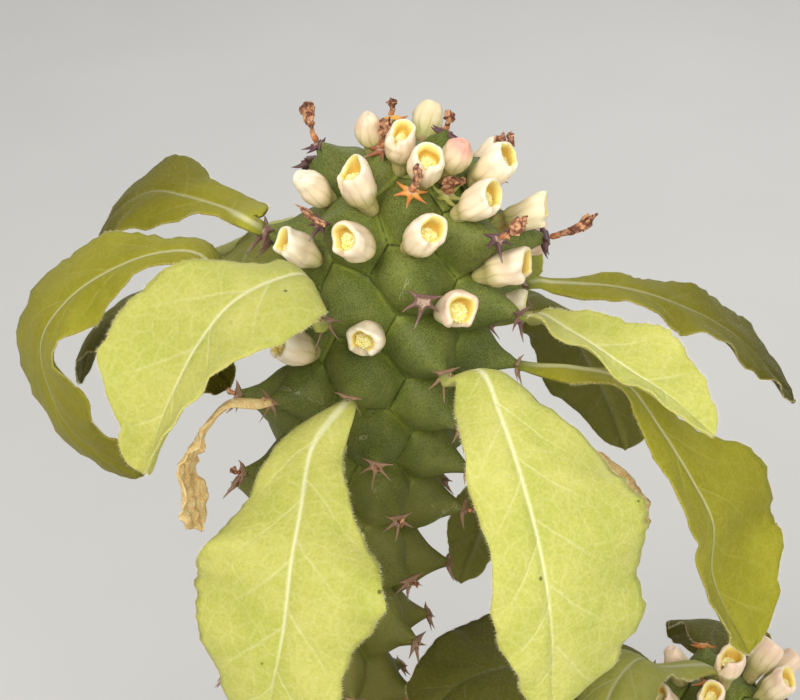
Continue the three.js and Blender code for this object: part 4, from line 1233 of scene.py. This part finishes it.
def slim_spines(table, share):
    """Draw the points of the spines in towards the middle lines of the spines."""
    turn = np.degrees(np.arctan2(table[:, 1], table[:, 0]))[:, None]
    apart = (turn - [angle for angle, _ in SPINES] + 180) % 360 - 180
    apart = np.take_along_axis(apart, np.abs(apart).argmin(1)[:, None], 1)[:, 0]
    far = np.hypot(table[:, 0], table[:, 1])
    turn = np.radians(turn[:, 0] - apart * (1 - share) * smoothstep(far, 1, 1.9))
    return np.stack([far * np.cos(turn), far * np.sin(turn), table[:, 2]], -1)


def stars_of(podaria, name, seed):
    """A star on the end of each podarium, a little different each time."""
    draw = random.Random(seed)
    stars = []
    for k, (foot, height, spread, out, down, side) in enumerate(podaria):
        turns = [math.radians(draw.uniform(-9, 9)) for _ in range(3)]
        tilt = Matrix.Rotation(turns[0], 4, "X") @ Matrix.Rotation(turns[1], 4, "Y")
        size = max(spread, LEAST_SIZE) * draw.uniform(0.9, 1.1)
        size *= 1 - 0.28 * float(smoothstep(k, 13, 22))
        old = float(smoothstep(k, OLD_FROM, OLD_BY))
        twist = Matrix.Rotation(turns[2], 4, "Z") @ Matrix.Diagonal((size, size, size, 1))
        model = fine_star if k < FINE_STARS else coarse_star
        star = copy_of(model, name, tilt @ twist)
        table = slim_spines(points_of(star), SLIM_YOUNG + (SLIM_OLD - SLIM_YOUNG) * old)
        far = np.hypot(table[:, 0], table[:, 1])[:, None]
        claw = draw.uniform(0.15, 0.6) * old
        table[:, 2] += claw * np.maximum(far[:, 0] - 1.4, 0)
        table[:, :2] *= 1 + 0.3 * old * smoothstep(far, 1.2, 3)
        bend = rough_ways(table, 4.5, seed + 3 * k)
        move_points(star, table + bend * 0.24 * far * [1, 1, 0.9])
        star.data.transform(local_frame(foot + out * height, out, down, side))
        mark(star, "age", min(max((k + draw.uniform(-2, 2)) / 60, 0), 1))
        mark(star, "young", max(1 - abs(k - 3) / 3.5, 0) * draw.uniform(0.7, 1))
        mark(star, "green", 0)
        stars.append(star)
    return smooth(join(stars, name))


# %% The odd star, and all the stars
def seat_height(tree, foot, out):
    """Height along the axis at which it leaves the skin."""
    hit = tree.ray_cast((foot + out * 6) * MM, -out)[0]
    return 0 if hit is None else (hit / MM - foot).dot(out)


def odd_star(stem, skin_piece, angle, depth, lift, name):
    """A star that stands between the podaria, seated on the skin along its axis."""
    foot = stem.groove(angle, depth)
    rise = math.asin(max(1 - depth / stem.radius, 0))
    out, down, side = stem.directions(angle, depth, rise + math.radians(lift))
    foot = foot + out * (seat_height(tree_of_faces(skin_piece), foot, out) + 0.35)
    star = copy_of(fine_star, name)
    points = points_of(star)
    outer = smoothstep(np.hypot(points[:, 0], points[:, 1]), 1, 4)
    move_points(star, points + outer[:, None] * [0, 0, 1.6])
    star.data.transform(local_frame(foot, out, down, side))
    for word, value in (("age", 0), ("young", 0.9), ("green", 1)):
        mark(star, word, value)
    return star, (foot, 0, 1, out, down, side)


main_stars = stars_of(main_podaria, "main_stem_spines", 5)
green_star, green_place = odd_star(main, main_skin, 24, 2.6, 12, "green_star")
main_stars = smooth(join([main_stars, green_star], "main_stem_spines"))
side_stars = stars_of(side_podaria, "side_stem_spines", 6)
discard(coarse_star, fine_star)

# %% [markdown]
# ### Finish of the spines
#
# The youngest spines are orange, then they turn purple brown with dark tips, and old ones are a
# light brown. The scar in the middle is a cork-coloured ring, and the odd star is partly green.

# %% Horn of the spines
horn = Finish("spine_horn")
reach, scar = horn.kept("reach"), horn.kept("scar")
horn_age, young = horn.kept("age"), horn.kept("young")
streak = horn.noise(0.7, 3)
tone = horn.coats(
    horn.mix(colour(106, 70, 74), colour(80, 54, 56), streak),
    (colour(164, 128, 98), (horn_age + streak * 0.2).step(0.22, 0.5) * 0.8),
    (colour(194, 114, 50), young.step(0.1, 0.6)),
    (colour(222, 168, 74), young.step(0.3, 0.9) * reach.step(0.35, 0.0)),
    (colour(176, 176, 92), horn.kept("green") * reach.step(0.9, 0.4)),
    (colour(166, 148, 126), reach.step(0.45, 0.85) * 0.5),
    (colour(58, 34, 30), reach.step(0.8, 1.0) * horn_age.step(0.35, 0.2) * 0.7),
    (colour(206, 176, 150), scar * (0.3 + streak * 0.6)),
)
horn_material = horn.finish(
    Base_Color=tone, Roughness=0.5 + streak * 0.2, Normal=horn.bump(streak, 0.06, 0.8)
)
for stars in (main_stars, side_stars):
    place_in(wear(stars, horn_material))

# %% [markdown]
# ## Cup flowers
#
# A flower is a fleshy cup on a short stalk. Its rim is thick and round, with a notch on the lower
# side, and a mound of tiny yellow flowers stands on its floor. It could be turned with a spin, but
# a disc that is extruded ring by ring keeps a point for each place on the rim. So the notch can
# be pushed in afterwards. Two cups, with a wide and a narrow notch, and one bud are made, with z
# along the axis and x down, and then copied to every flower's place.

# %% Extrude a disc ring by ring
CUP_SIDES, BUD_SIDES = 28, 20
STALK_FOOT, NECK = 1.4, 2.7
SUNK = 0.7
CUP_SCALE, SIDE_CUP_SCALE = 0.93, 0.84
CUP_RINGS = [
    (STALK_FOOT, 1.0), (2.0, 1.5), (NECK, 2.05), (3.5, 2.5), (4.5, 2.84), (5.6, 3.0), (6.8, 3.04),
    (8, 2.98), (8.9, 2.9), (9.5, 2.78), (9.84, 2.52), (9.95, 2.22), (9.84, 1.92), (9.5, 1.74),
    (8.9, 1.66), (8.3, 1.64), (7.8, 1.5), (7.4, 1.1),
]
BUD_RINGS = [
    (STALK_FOOT, 1.0), (2.0, 1.6), (NECK, 2.2), (3.5, 2.65), (4.5, 2.9), (5.6, 2.85), (6.8, 2.6),
    (7.9, 2.25), (8.9, 1.75), (9.6, 1.1), (9.75, 0.6), (9.4, 0.3),
]


def turned(name, rings, sides):
    """Extrude a disc ring by ring through a list of heights and radii."""
    height, radius = rings[0]
    bpy.ops.mesh.primitive_circle_add(
        vertices=sides, radius=radius * MM, fill_type="NGON", location=(0, 0, height * MM)
    )
    piece = settle(bpy.context.object, name)
    choose(piece, "faces", lambda face: True)
    for next_height, next_radius in rings[1:]:
        share = next_radius / radius
        bpy.ops.mesh.extrude_region_move(
            TRANSFORM_OT_translate={"value": (0, 0, (next_height - height) * MM)}
        )
        bpy.ops.transform.resize(value=(share, share, 1))
        height, radius = next_height, next_radius
    bpy.ops.object.mode_set(mode="OBJECT")
    return set_right(piece)


# %% Tiny flowers and bracts
SCATTER_TURN = 2.4


def tiny_flowers(count, reach, height, seed):
    """A mound of small lobes, each pulled out of a low ball."""
    draw = random.Random(seed)
    lobes = []
    for i in range(count):
        turn, far = i * SCATTER_TURN, reach * math.sqrt((i + 0.5) / count)
        size = draw.uniform(0.19, 0.3)
        lift = draw.uniform(-0.05, 0.16) - 0.1 * far**2
        place = Vector((far * math.cos(turn) + 0.2, far * math.sin(turn), height + lift))
        bpy.ops.mesh.primitive_ico_sphere_add(subdivisions=1, radius=size * MM, location=place * MM)
        lobe = settle(bpy.context.object, "lobe")
        choose(lobe, "faces", lambda face: face.normal.z > 0.75)
        pull((draw.uniform(-0.1, 0.1), draw.uniform(-0.1, 0.1), draw.uniform(0.05, 0.3)), 0.6)
        bpy.ops.object.mode_set(mode="OBJECT")
        lobes.append(lobe)
    mound = smooth(join(lobes, "tiny_flowers"))
    mark(mound, "inside", 1)
    return mound


def teeth():
    """Two small pointed bracts that stand at the foot of a cup."""
    points = []
    for side in (-1, 1):
        place = (0.5 * MM, side * 1.35 * MM, 3.3 * MM)
        bpy.ops.mesh.primitive_cylinder_add(
            vertices=6, radius=0.55 * MM, depth=0.5 * MM, location=place
        )
        tooth = settle(bpy.context.object, "tooth")
        choose(tooth, "faces", lambda face: face.normal.z > 0.9)
        for step, share in (((0.05, 0.45 * side, 0.6), 0.75), ((0.1, 0.4 * side, 0.55), 0.5)):
            pull(step, share)
        pull((0.1, 0.25 * side, 0.5), 0.15)
        bpy.ops.object.mode_set(mode="OBJECT")
        points.append(subdivide(tooth, 1))
    pair = smooth(join(points, "teeth"))
    mark(pair, "inside", 0)
    return pair


# %% Shape the cups and the bud
def cup_model(name, notch_width, notch_depth):
    """A cup with a slanting, lumpy rim and a notch on its lower side."""
    cup = turned(name, CUP_RINGS, CUP_SIDES)
    table = points_of(cup)
    turn = np.arctan2(table[:, 1], table[:, 0])
    radius, height = np.hypot(table[:, 0], table[:, 1]), table[:, 2].copy()
    turn = turn - 0.55 * np.sin(turn)
    inner = (radius < 2) & (height > 6)
    mark(cup, "inside", inner.astype(float))
    # How deep a point lies in the cup, where the yellow is painted darker as painted shade.
    mark(cup, "deep", np.clip((9.9 - height) / 2.4, 0, 1))
    upper = smoothstep(height, 5.6, 9.9)
    notch = np.clip(1.12 - np.abs(turn) / notch_width, 0, 1) ** 0.8
    lip = np.exp(-(((np.abs(turn) - notch_width - 0.16) / 0.2) ** 2))
    height += upper * (0.35 * lip - notch_depth * notch - 0.85 * np.cos(turn))
    lumps = 0.04 * np.cos(3 * turn + 0.6) + 0.03 * np.cos(5 * turn + 2)
    radius *= 1 + upper * (0.09 * lip - 0.04 * notch + lumps)
    lean = 0.3 * smoothstep(height, 5, 9)
    table = np.stack([radius * np.cos(turn) - lean, radius * np.sin(turn), height], -1)
    move_points(cup, table)
    return smooth(subdivide(cup, 1))


def bud_model():
    """A closed bloom with two folds at its tip."""
    bud = turned("bud", BUD_RINGS, BUD_SIDES)
    table = points_of(bud)
    turn = np.arctan2(table[:, 1], table[:, 0])
    radius, height = np.hypot(table[:, 0], table[:, 1]), table[:, 2]
    upper = smoothstep(height, 5, 9)
    fold = np.exp(-((turn / 0.3) ** 2)) + 0.6 * np.exp(-(((turn - 2.2) / 0.3) ** 2))
    radius = radius * (1 - 0.22 * upper * fold + 0.1 * upper * np.cos(3 * turn))
    table = np.stack([radius * np.cos(turn) - 0.3 * upper, radius * np.sin(turn), height], -1)
    move_points(bud, table)
    mark(bud, "inside", 0)
    mark(bud, "deep", 0)
    return smooth(subdivide(bud, 1))


open_cup = cup_model("open_cup", 0.42, 2.3)
slit_cup = cup_model("slit_cup", 0.2, 1.5)
mound = tiny_flowers(80, 1.45, 7.8, 4)
bract_pair = teeth()
bud = bud_model()
print(len(open_cup.data.polygons), "faces in a cup,", len(mound.data.polygons), "in its mound")


# %% [markdown]
# ### Ivory of the cups
#
# The cups are ivory, like wax, greener towards the stalk with faint green veins, and yellow
# inside, with painted shade making the yellow a darker gold deeper in the cup. Some have a touch
# of pink near the rim.

# %% Ivory and yellow
ivory = Finish("cup_ivory")
inside, deep, blush = ivory.kept("inside"), ivory.kept("deep"), ivory.kept("blush")
up_cup, turn_share, greenness = ivory.kept("up_cup"), ivory.kept("turn"), ivory.kept("green")
cloud = ivory.noise(2.2, 3)
stripe = ((turn_share * 9 + cloud * 0.5).fraction() - 0.5).size()
streaks = ivory.mix(colour(232, 208, 164), colour(246, 234, 208), cloud)
veins = stripe.step(0.13, 0.03) * up_cup.step(0.75, 0.15)
# Painted shade: the yellow inside turns a darker gold deeper in the cup.
yolk_and_painted_shade = ivory.mix(colour(238, 218, 124), colour(214, 174, 52), deep.step(0.05, 0.8))
tone = ivory.coats(
    streaks,
    (colour(250, 242, 220), up_cup.step(0.62, 0.98) * 0.6),
    (colour(206, 170, 112), stripe.step(0.3, 0.05) * cloud * 0.4),
    (colour(214, 184, 128), up_cup.step(0.6, 0.1) * 0.6),
    (colour(188, 184, 112), up_cup.step(0.5, 0.05) * 0.7 + greenness * 0.5),
    (colour(148, 152, 80), veins * 0.4 + veins * greenness * 0.4),
    (colour(226, 158, 140), blush * up_cup.step(0.45, 0.95) * (cloud + 0.25)),
    (colour(150, 96, 70), up_cup.step(0.12, 0.0) * cloud.step(0.45, 0.7) * 0.7),
    (yolk_and_painted_shade, inside.step(0.2, 0.8) * 0.92),
)
ivory_material = ivory.finish(
    Base_Color=tone,
    Roughness=0.42 + cloud * 0.12,
    Normal=ivory.bump(ivory.noise(0.6, 3), 0.05, 0.6),
    Subsurface_Weight=0.35,
    Subsurface_Radius=(1.2, 0.9, 0.45),
    Subsurface_Scale=0.0014,
)
pollen = Finish("pollen_yellow")
grain = pollen.noise(0.4, 2)
pollen_tone = pollen.mix(colour(246, 224, 120), colour(254, 248, 200), grain.step(0.35, 0.65))
pollen_material = pollen.finish(
    Base_Color=pollen_tone, Roughness=0.6, Subsurface_Weight=0.2, Subsurface_Scale=0.0008
)
for model in (open_cup, slit_cup, bud, bract_pair):
    wear(model, ivory_material)
wear(mound, pollen_material)
print("ivory and pollen")

# %% Where the flowers grow: podarium, turn, height above it, then swing, lift, size or bud
MAIN_FLOWERS = [
    (25, 2, 9.5, dict(swing=-5, lift=14)), (20, 5, 6.9, dict(swing=-11, lift=34)),
    (12, -10, 6, dict(swing=24, lift=41)), (17, 4, 10.7, dict(swing=-13, lift=24)),
    (7, -15, 4, dict(swing=24, lift=23)), (15, -8, 5.6, dict(swing=14, lift=36)),
    (9, 10, 5, dict(swing=-24, lift=41)), (22, 4, 11.2, dict(lift=28)),
    (14, 14, 9, dict(bud=True)), (30, 4, 8.4, dict(swing=-13, lift=18)),
    (4, 4, 2.5, dict(lift=28, size=0.9)), (10, -21, 5.3, dict(swing=1)),
    (18, 2, 8.3, dict(swing=-8, lift=17)), (23, 5, 8, dict(size=0.7)), (2, -19, 0.4, {}),
    (-1, 0, 0.3, dict(bud=True, size=0.9)), (1, 23, 0.7, dict(size=0.85, swing=8, lift=41)),
    (0, 18, -4, dict(size=0.8, lift=15)),
    (1, -25, 0, dict(swing=24, lift=32, size=0.85, bud=True)),
    (13, 0, 7.5, {}), (16, 0, 8, {}), (24, 4, 9, {}), (21, 3, 8.5, {}),
]
SIDE_FLOWERS = [
    (7, 8, 4, dict(bud=True)), (2, 3, 1.6, dict(swing=8, lift=41)), (1, -16, 1.9, {}),
    (6, 3, 4.8, {}), (0, 26, 0.8, dict(swing=-8)), (5, -27, 2.2, dict(lift=17)),
    (10, -16, 5.2, dict(swing=2, lift=17)),
]
CUP_LIFT = 25
WIDE_NOTCHES = [1, 2, 6, 8, 12]
GREENISH = {12: 0.5, 18: 0.8, 19: 0.3, 14: 0.3, 16: 0.3}
ROSY, SIDE_BLUSH = {16: 1, 13: 0.6}, 0.4
BLUSHES = [0, 0.1, 0.2, 0.4]


# %% Copy a bloom to every place
def flower_place(stem, number, turn, above, swing=0, lift=CUP_LIFT, **others):
    """Foot and directions of a flower that stands in the groove above a podarium."""
    angle = stem.phase + number * TURN + turn
    depth = max(stem.depth(number) + 0.6 - above, 0.3)
    rise = max(1 - depth / stem.radius, 0)
    tilt = math.asin(rise) + math.radians(lift) * (1 - rise)
    out, down, side = stem.directions(angle + swing, depth, tilt)
    return stem.groove(angle, depth), out, down, side


def mark_bloom(piece, table, order, blush, on_main):
    """Marks for the finish: the height up the cup, the turn round it, its blush and green."""
    mark(piece, "up_cup", np.clip((table[:, 2] - 2.6) / 7, 0, 1))
    mark(piece, "turn", np.arctan2(table[:, 1], table[:, 0]) / (2 * math.pi) + 0.5)
    mark(piece, "blush", ROSY.get(order, blush) if on_main else SIDE_BLUSH)
    mark(piece, "green", GREENISH.get(order, 0))


def bloom(stem, tree, name, flower, order):
    """A flower in its place, made a little uneven, with a stalk that reaches the skin."""
    number, turn, above, others = flower
    foot, out, down, side = flower_place(stem, number, turn, above, **others)
    seed = 31 * order + stem.count
    draw = random.Random(seed)
    size = (CUP_SCALE if stem is main else SIDE_CUP_SCALE) * others.get("size", 1)
    models = [open_cup if order in WIDE_NOTCHES else slit_cup, mound, bract_pair]
    if others.get("bud"):
        models = [bud, bract_pair]
    piece = join([copy_of(model, name) for model in models], name)
    table = points_of(piece)
    mark_bloom(piece, table, order, draw.choice(BLUSHES), stem is main)
    height = table[:, 2].copy()
    share = smoothstep(height, STALK_FOOT, NECK)
    table[:, :2] *= (1 + (size - 1) * share)[:, None]
    table[:, 0] *= 1 + share * draw.uniform(-0.08, 0.02)
    table[:, 1] *= 1 + share * draw.uniform(-0.06, 0.05)
    bend = rough_ways(table, 3.4, seed)
    crinkle = rough_ways(table, 1.3, seed + 7)
    table += share[:, None] * (0.55 * bend + 0.12 * crinkle)
    seat = min(seat_height(tree, foot, out), NECK)
    low = height < NECK
    table[low, 2] = NECK + (table[low, 2] - NECK) * (NECK - seat + SUNK) / (NECK - STALK_FOOT)
    table[~low, 2] = NECK + (table[~low, 2] - NECK) * size
    move_points(piece, table)
    piece.data.transform(local_frame(foot, out, down, side))
    return smooth(piece)


for stem, skin_piece, flowers, word in (
    (main, main_skin, MAIN_FLOWERS, "cup_flower"),
    (offset, side_skin, SIDE_FLOWERS, "side_cup_flower"),
):
    tree = tree_of_faces(skin_piece)
    for i, flower in enumerate(flowers, 1):
        piece = bloom(stem, tree, f"{word}_{i}_bloom", flower, i)
        place_in(piece, nodes=[f"{word}_{i}"])
discard(open_cup, slit_cup, bud, mound, bract_pair)

# %% [markdown]
# ## Withered stubs
#
# On some podaria the dry foot of a fallen leaf or bloom still stands on the scar, crumpled and
# brown. Each is a ten-sided stalk, extruded to a flared end, flattened, and crumpled with noise.
# Three of them are solids in the frame. The crumbs on old scars are the same stalk, only short.
# The tables give each podarium's number, and the length and width of its stub.

# %% Model and crumple the stubs
STUB_LENGTH = 5
STUB_RINGS = [
    (0, 0.6), (0.7, 0.5), (1.5, 0.46), (2.25, 0.6), (3, 0.85), (3.6, 1.05), (4.25, 1.1),
    (STUB_LENGTH, 0.5),
]
STALKS = {7: (5.5, 1), 10: (7, 1), 9: (2.6, 2.8)}
SMALL_STUBS = {
    4: (3.8, 1.1), 6: (6, 1.1), 3: (2.5, 1), 2: (5, 1), 1: (4, 1.7), 5: (3.2, 1), 0: (3, 1),
}
WIDE = 1.3
CRUMBS = [14, 15, 17, 20, 22, 25, 28, 30, 31, 33, 35, 36, 38, 41, 43, 44, 46, 49, 51, 54, 59]


def withered_stub(model, podarium, length, width, name, seed):
    """A stub on the end of a podarium, flattened across, or along if it is wide."""
    foot, height, _, out, down, side = podarium
    stub = copy_of(model, name)
    table = points_of(stub)
    share = table[:, 2] / STUB_LENGTH
    turn = np.arctan2(table[:, 1], table[:, 0])
    open_end = smoothstep(share, 0.45, 1)
    table[:, 0 if width > WIDE else 1] *= 1 - 0.62 * smoothstep(share, 0.1, 0.6)
    table[:, :2] *= (1 + 0.45 * open_end * np.cos(3 * turn + seed))[:, None]
    table[:, 2] += 0.7 * open_end * np.cos(2 * turn + 2 * seed)
    crumple = rough_ways(table, 0.6, seed)
    broad = rough_ways(table, 1.8, seed + 5)
    table += (0.5 * crumple + 0.75 * broad) * smoothstep(share, 0.05, 0.5)[:, None]
    table *= [min(width, 1), width, length / STUB_LENGTH]
    table[:, 0] -= 0.35 * length * share**2
    move_points(stub, table)
    stub.data.transform(local_frame(foot + out * (height + 0.15), out, down, side))
    mark(stub, "along", share)
    return stub


# %% Husks on the young podaria, crumbs on the old
stub = subdivide(turned("stub", STUB_RINGS, 10), 2)
crumb_model = turned("crumb", STUB_RINGS, 8)
husk = Finish("withered_husk")
crumb = husk.noise(0.8, 4)
husk_tone = husk.mix(colour(110, 64, 44), colour(214, 160, 118), crumb.step(0.38, 0.66))
husk_tone = husk.mix(husk_tone, colour(206, 122, 58), husk.kept("along").step(0.4, 0.0) * 0.6)
husk_material = husk.finish(
    Base_Color=husk_tone, Roughness=0.8, Normal=husk.bump(husk.noise(0.35, 3), 0.12)
)
for i, (k, sizes) in enumerate(STALKS.items(), 1):
    piece = withered_stub(stub, main_podaria[k], *sizes, f"dry_stalk_{i}_husk", 7 * i)
    place_in(smooth(wear(piece, husk_material)), nodes=[f"dry_stalk_{i}"])
small = [
    withered_stub(stub, main_podaria[k], *sizes, "withered_stub", 40 + k)
    for k, sizes in SMALL_STUBS.items()
]
small += [withered_stub(crumb_model, main_podaria[k], 1.5, 0.6, "crumb", 90 + k) for k in CRUMBS]
small.append(withered_stub(stub, green_place, 2.4, 1.9, "withered_stub", 71))
small = smooth(wear(join(small, "withered_stubs"), husk_material))
place_in(small)
discard(stub, crumb_model)

# %% [markdown]
# ## Withered leaves
#
# Two dead leaves hang on, rolled up and papery. They are blades like the others, then crumpled
# with noise, more towards the end.

# %% Crumple the dry leaves
paper = Finish("dry_leaf")
fold = paper.noise(1.4, 4)
vein_net = (paper.cells(0.9, "DISTANCE_TO_EDGE") + paper.noise(0.5, 2) * 0.1).step(0.2, 0.04)
paper_tone = paper.mix(colour(232, 192, 120), colour(252, 226, 164), fold.step(0.3, 0.7))
paper_tone = paper.mix(paper_tone, colour(196, 148, 84), vein_net * 0.25)
paper_material = paper.finish(
    Base_Color=paper_tone,
    Roughness=0.75,
    Normal=paper.bump(paper.noise(0.5, 3) - vein_net * 0.4, 0.12),
    Subsurface_Weight=0.15,
    Subsurface_Scale=0.001,
)
for leaf in DRY_LEAVES:
    piece = leaf_blade({**leaf, "quilt": 0, "frill": 1.6})
    table = points_of(piece)
    creases = 0.5 * rough_ways(table, 1.7, leaf["seed"])
    creases += 0.3 * rough_ways(table, 0.8, leaf["seed"] + 4)
    move_points(piece, table + creases * smoothstep(marked(piece, "along"), 0.1, 0.7)[:, None])
    place_in(wear(piece, paper_material), nodes=[leaf["name"]])

# %% [markdown]
# ## Pot and soil
#
# The photograph ends above the pot, so this is a usual hand-sized clay pot: tapered, with a
# collar, and finished plainly. A disc is extruded up the outside, over the rim, and down the
# inside. Three drills are cut out of its floor.

# %% Turn the pot
POT_SIDES = 96
POT_RINGS = [
    (0, 42), (0, 43.5), (0.5, 44.6), (1.5, 45.2), (24, 50.4), (47, 55.6), (69.5, 60.7),
    (70.6, 61), (71, 61.6), (71.2, 64.3), (71.8, 65), (73, 65.2), (83, 65.6), (93, 65.95),
    (94.8, 65.6), (95.8, 64.6), (96, 63.4), (95.9, 62), (95.2, 61.2), (93.5, 60.9), (71, 56),
    (40, 48.9), (9, 42), (7.4, 41), (7, 39.5),
]
DRAIN_RADIUS, DRAIN_CIRCLE = 5, 24
pot = turned("pot_clay", POT_RINGS, POT_SIDES)
for i in range(3):
    turn = 2 * math.pi * i / 3
    place = (DRAIN_CIRCLE * MM * math.cos(turn), DRAIN_CIRCLE * MM * math.sin(turn), 0)
    bpy.ops.mesh.primitive_cylinder_add(
        vertices=32, radius=DRAIN_RADIUS * MM, depth=40 * MM, location=place
    )
    drill = settle(bpy.context.object, "drill")
    modify(pot, "BOOLEAN", operation="DIFFERENCE", object=drill, solver="EXACT")
    discard(drill)
table = points_of(pot)
outwards = table * [1, 1, 0] / np.maximum(np.hypot(table[:, 0], table[:, 1]), 1)[:, None]
move_points(pot, table - outwards * np.abs(rough(table, 18) * 0.35)[:, None])
only(pot)
bpy.ops.object.shade_smooth_by_angle(angle=math.radians(38))

# %% Fired clay
clay = Finish("fired_clay")
broad, fine = clay.noise(26, 4), clay.noise(1.1, 4)
lime = (clay.noise(15, 5) * 0.7 + clay.noise(4, 3) * 0.3).step(0.54, 0.68)
pits = clay.cells(2.4).step(0.12, 0.06) * clay.noise(6, 1).step(0.5, 0.6)
clay_tone = clay.coats(
    clay.mix(colour(176, 98, 62), colour(198, 122, 82), broad.step(0.3, 0.7)),
    (colour(150, 78, 48), fine.step(0.55, 0.8) * 0.5),
    (colour(222, 192, 166), lime * 0.5),
    (colour(104, 58, 40), pits * 0.7),
)
clay_material = clay.finish(
    Base_Color=clay_tone,
    Roughness=0.8 + fine * 0.12,
    Normal=clay.bump(fine + broad * 0.6 - pits * 1.4, 0.16, 0.8),
)
place_in(wear(pot, clay_material), nodes=["pot"])

# %% Lay the soil and its stones
SOIL_LEVEL = 88
BIG_STONES, SMALL_STONES = 14, 420
SOIL_RINGS = [(7.6, 38), (7.4, 40.8), (70, 55), (84, 58), (86.6, 58.2), (87.4, 57.6), (88, 56)]
SOIL_RINGS += [(88, radius) for radius in range(54, 1, -2)]


def clod(place, size, seed):
    """A stone: a ball that is squashed and knocked out of round."""
    bpy.ops.mesh.primitive_ico_sphere_add(subdivisions=1, radius=size * MM, location=(0, 0, 0))
    stone = bpy.context.object
    if size > 2:
        subdivide(stone, 1)
    draw = random.Random(seed)
    table = points_of(stone)
    table *= [1, draw.uniform(0.65, 0.95), draw.uniform(0.5, 0.8)]
    table += rough_ways(table, size * 0.9, seed) * size * 0.45
    turn = Matrix.Rotation(draw.uniform(0, 6.3), 3, "Z")
    turn = turn @ Matrix.Rotation(draw.uniform(-0.5, 0.5), 3, "X")
    move_points(stone, table @ np.array(turn).T + np.array(place))
    mark(stone, "shade", draw.random())
    return stone


bed = turned("soil_bed", SOIL_RINGS, 96)
table = points_of(bed)
far = np.hypot(table[:, 0], table[:, 1])
top = smoothstep(table[:, 2], 86, 87.8) * (1 - smoothstep(far, 55, 58.2))
clods = rough(table, 14) * 0.7 + rough(table, 4, 1) * 0.7 + rough(table, 1.8, 2) * 0.5
table[:, 2] += top * clods
move_points(bed, table)
smooth(bed)
draw = random.Random(11)
stones = []
for i in range(BIG_STONES):
    far, turn = 51 * math.sqrt((i + 0.5) / BIG_STONES), i * SCATTER_TURN
    place = (far * math.cos(turn), far * math.sin(turn), SOIL_LEVEL + 0.3)
    stones.append(clod(place, draw.uniform(2.4, 4), i))
for i in range(SMALL_STONES):
    far, turn = 56 * math.sqrt(draw.random()), draw.uniform(0, 2 * math.pi)
    size = draw.uniform(0.7, 1.9)
    place = (far * math.cos(turn), far * math.sin(turn), SOIL_LEVEL + 0.15 * size)
    stones.append(clod(place, size, 100 + i))
grit = smooth(join(stones, "soil_grit"))

# %% Finish of the soil and its stones
earth = Finish("potting_soil")
crumbs = earth.noise(1.3, 5, roughness=0.7)
earth_tone = earth.mix(colour(58, 44, 34), colour(112, 90, 68), crumbs.step(0.3, 0.7))
earth_tone = earth.mix(earth_tone, colour(150, 128, 98), earth.cells(1.7).step(0.22, 0.1) * 0.5)
earth_material = earth.finish(
    Base_Color=earth_tone, Roughness=0.92, Normal=earth.bump(crumbs, 0.7)
)
pumice = Finish("grit_stone")
shade, speckle = pumice.kept("shade"), pumice.noise(0.6, 3)
stone_tone = pumice.ramp(
    shade,
    (0, colour(96, 84, 72)), (0.35, colour(150, 132, 108)), (0.7, colour(182, 170, 150)),
    (1, colour(128, 96, 72)),
)
stone_tone = pumice.mix(stone_tone, colour(70, 60, 52), speckle.step(0.55, 0.75) * 0.5)
grit_material = pumice.finish(
    Base_Color=stone_tone, Roughness=0.85, Normal=pumice.bump(speckle, 0.15)
)
place_in(wear(bed, earth_material), nodes=["soil"])
place_in(wear(grit, grit_material))

# %% [markdown]
